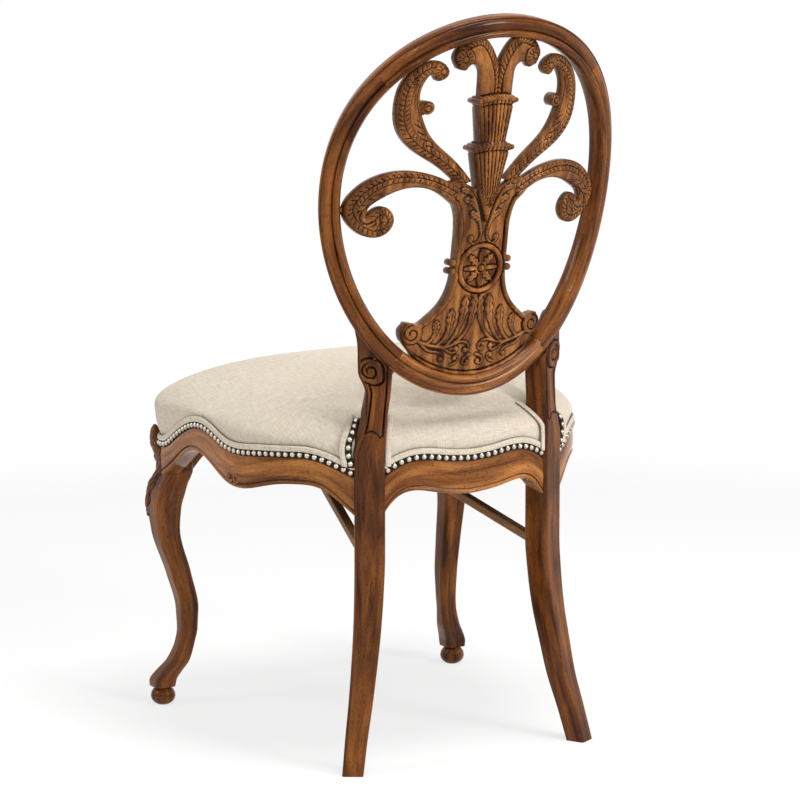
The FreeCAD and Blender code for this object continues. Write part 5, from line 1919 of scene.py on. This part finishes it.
class CHAIR_OT_rails(bpy.types.Operator):
    """Makes the four moulded seat rails"""
    bl_idname = "chair.rails"
    bl_label = "Seat rails"

    def execute(self, context):
        side = side_rail_skin()
        rails = {"back_rail": back_rail_skin(), "front_rail": front_rail_skin(), "side_rail_left": side,
                 "side_rail_right": mirrored_skin(side)}
        for node, skin in rails.items():
            make_piece("moulded_" + node, skin, "walnut_satin_light", [node])
        return {"FINISHED"}


class CHAIR_OT_seat_cover(bpy.types.Operator):
    """Makes the crowned linen seat and lets it swell as cloth"""
    bl_idname = "chair.seat_cover"
    bl_label = "Linen seat"

    def execute(self, context):
        cover = make_piece("linen_seat", cover_skin(), "oatmeal_linen_seat",
                           ["seat_cover", "seat_foam"], 180.0)
        swell_cover(context, cover)
        return {"FINISHED"}


class CHAIR_OT_edge_bands(bpy.types.Operator):
    """Makes the linen welts and the dark tapes under the nails"""
    bl_idname = "chair.edge_bands"
    bl_label = "Welts and tapes"

    def execute(self, context):
        tapes = tape_lines()
        welts = welt_lines()
        for side in tapes:
            skin = joined([band_skin(*line, strip_section()) for line in tapes[side]])
            make_piece(f"nail_tape_{side}", skin, "woven_tape_dark", [f"nail_strip_{side}"])
            skin = joined([band_skin(*line, welt_section()) for line in welts[side]])
            make_piece(f"linen_welt_{side}", skin, "oatmeal_linen_welt", [f"welt_{side}"],
                       60.0)
        return {"FINISHED"}


class CHAIR_OT_nails(bpy.types.Operator):
    """Makes the rows of domed nails"""
    bl_idname = "chair.nails"
    bl_label = "Nails"

    def execute(self, context):
        sizes = context.scene.chair_sizes
        for side, lines in tape_lines().items():
            heads = []
            for line, outward in lines:
                spots = zip(*evenly(line, outward, sizes.nail_pitch / MM))
                for k, (spot, away) in enumerate(spots):
                    place = spot + NAIL_LIFT * away
                    heads.append(nail_skin(place, away, sizes.nail_width / MM / 2, NAIL_TURN * k))
            make_piece(f"domed_nails_{side}", joined(heads), "pewter_nail_steel",
                       [f"nails_{side}"], 70.0)
        return {"FINISHED"}


class CHAIR_OT_under_seat(bpy.types.Operator):
    """Makes the jute webbing and the dust cover under the seat"""
    bl_idname = "chair.under_seat"
    bl_label = "Webbing and dust cover"

    def execute(self, context):
        make_piece("jute_webbing", webbing_skin(), "jute_webbing", ["seat_webbing"])
        cover = make_piece("dust_cover_cambric", dust_skin(), "dust_cambric_black",
                           ["dust_cover"], 180.0)
        return {"FINISHED"}


class CHAIR_OT_inner_pieces(bpy.types.Operator):
    """Finishes the blocks, braces, dowels and screws that are kept from the CAD frame"""
    bl_idname = "chair.inner_pieces"
    bl_label = "Blocks, braces, dowels and screws"

    def execute(self, context):
        for name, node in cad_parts.items():
            if name == "block_screws":
                material = "zinc_plated_steel"
            elif "block" in name or "brace" in name or "dowel" in name:
                material = "beech_sawn_stained"
            else:
                continue
            node.data.materials.clear()
            node.data.materials.append(finish(material))
        return {"FINISHED"}


class CHAIR_OT_stage(bpy.types.Operator):
    """Makes the floor, the white surroundings, the lamps and the camera"""
    bl_idname = "chair.stage"
    bl_label = "Stage"

    def execute(self, context):
        scene = context.scene
        scene.view_settings.view_transform = "Standard"
        make_floor(context)
        make_world(scene)
        for name, place, size, power in STAGE_LAMPS:
            lamp = bpy.data.lights.new(name, "AREA")
            lamp.shape = "DISK"
            lamp.size = size
            lamp.energy = power
            holder = bpy.data.objects.new(name, lamp)
            holder.location = place
            holder.rotation_euler = (VIEW_TARGET - Vector(place)).to_track_quat("-Z", "Y").to_euler()
            context.collection.objects.link(holder)
        camera = bpy.data.cameras.new("photo_camera")
        camera.lens = VIEW_LENS
        camera.sensor_width = 36.0
        holder = bpy.data.objects.new("photo_camera", camera)
        azimuth = math.radians(VIEW_AZIMUTH)
        elevation = math.radians(VIEW_ELEVATION)
        away = Vector((math.sin(azimuth) * math.cos(elevation), -math.cos(azimuth) * math.cos(elevation),
                       math.sin(elevation)))
        holder.location = VIEW_TARGET + away * VIEW_DISTANCE
        holder.rotation_euler = (-away).to_track_quat("-Z", "Y").to_euler()
        context.collection.objects.link(holder)
        scene.camera = holder
        return {"FINISHED"}


OPERATORS = (CHAIR_OT_oval, CHAIR_OT_splat, CHAIR_OT_rear_legs, CHAIR_OT_front_legs, CHAIR_OT_ball_feet,
             CHAIR_OT_rails, CHAIR_OT_seat_cover, CHAIR_OT_edge_bands, CHAIR_OT_nails, CHAIR_OT_under_seat,
             CHAIR_OT_inner_pieces, CHAIR_OT_stage)


class CHAIR_PT_pieces(bpy.types.Panel):
    """Lists the chair's pieces, sizes and colours"""
    bl_idname = "CHAIR_PT_pieces"
    bl_label = "Oval Back Side Chair"
    bl_space_type = "VIEW_3D"
    bl_region_type = "UI"
    bl_category = "Chair"

    def draw(self, context):
        layout = self.layout
        for group in (context.scene.chair_sizes, context.scene.chair_colours):
            for name in group.__annotations__:
                layout.prop(group, name)
        for operator in OPERATORS:
            layout.operator(operator.bl_idname)


CLASSES = (ChairSizes, ChairColours) + OPERATORS + (CHAIR_PT_pieces,)


def register():
    for item in CLASSES:
        bpy.utils.register_class(item)
    bpy.types.Scene.chair_sizes = PointerProperty(type=ChairSizes)
    bpy.types.Scene.chair_colours = PointerProperty(type=ChairColours)


def unregister():
    del bpy.types.Scene.chair_colours
    del bpy.types.Scene.chair_sizes
    for item in reversed(CLASSES):
        bpy.utils.unregister_class(item)


def main():
    register()
    bpy.ops.chair.oval()
    bpy.ops.chair.splat()
    bpy.ops.chair.rear_legs()
    bpy.ops.chair.front_legs()
    bpy.ops.chair.ball_feet()
    bpy.ops.chair.rails()
    bpy.ops.chair.seat_cover()
    bpy.ops.chair.edge_bands()
    bpy.ops.chair.nails()
    bpy.ops.chair.under_seat()
    bpy.ops.chair.inner_pieces()
    bpy.ops.chair.stage()


if __name__ == "__main__":
    main()
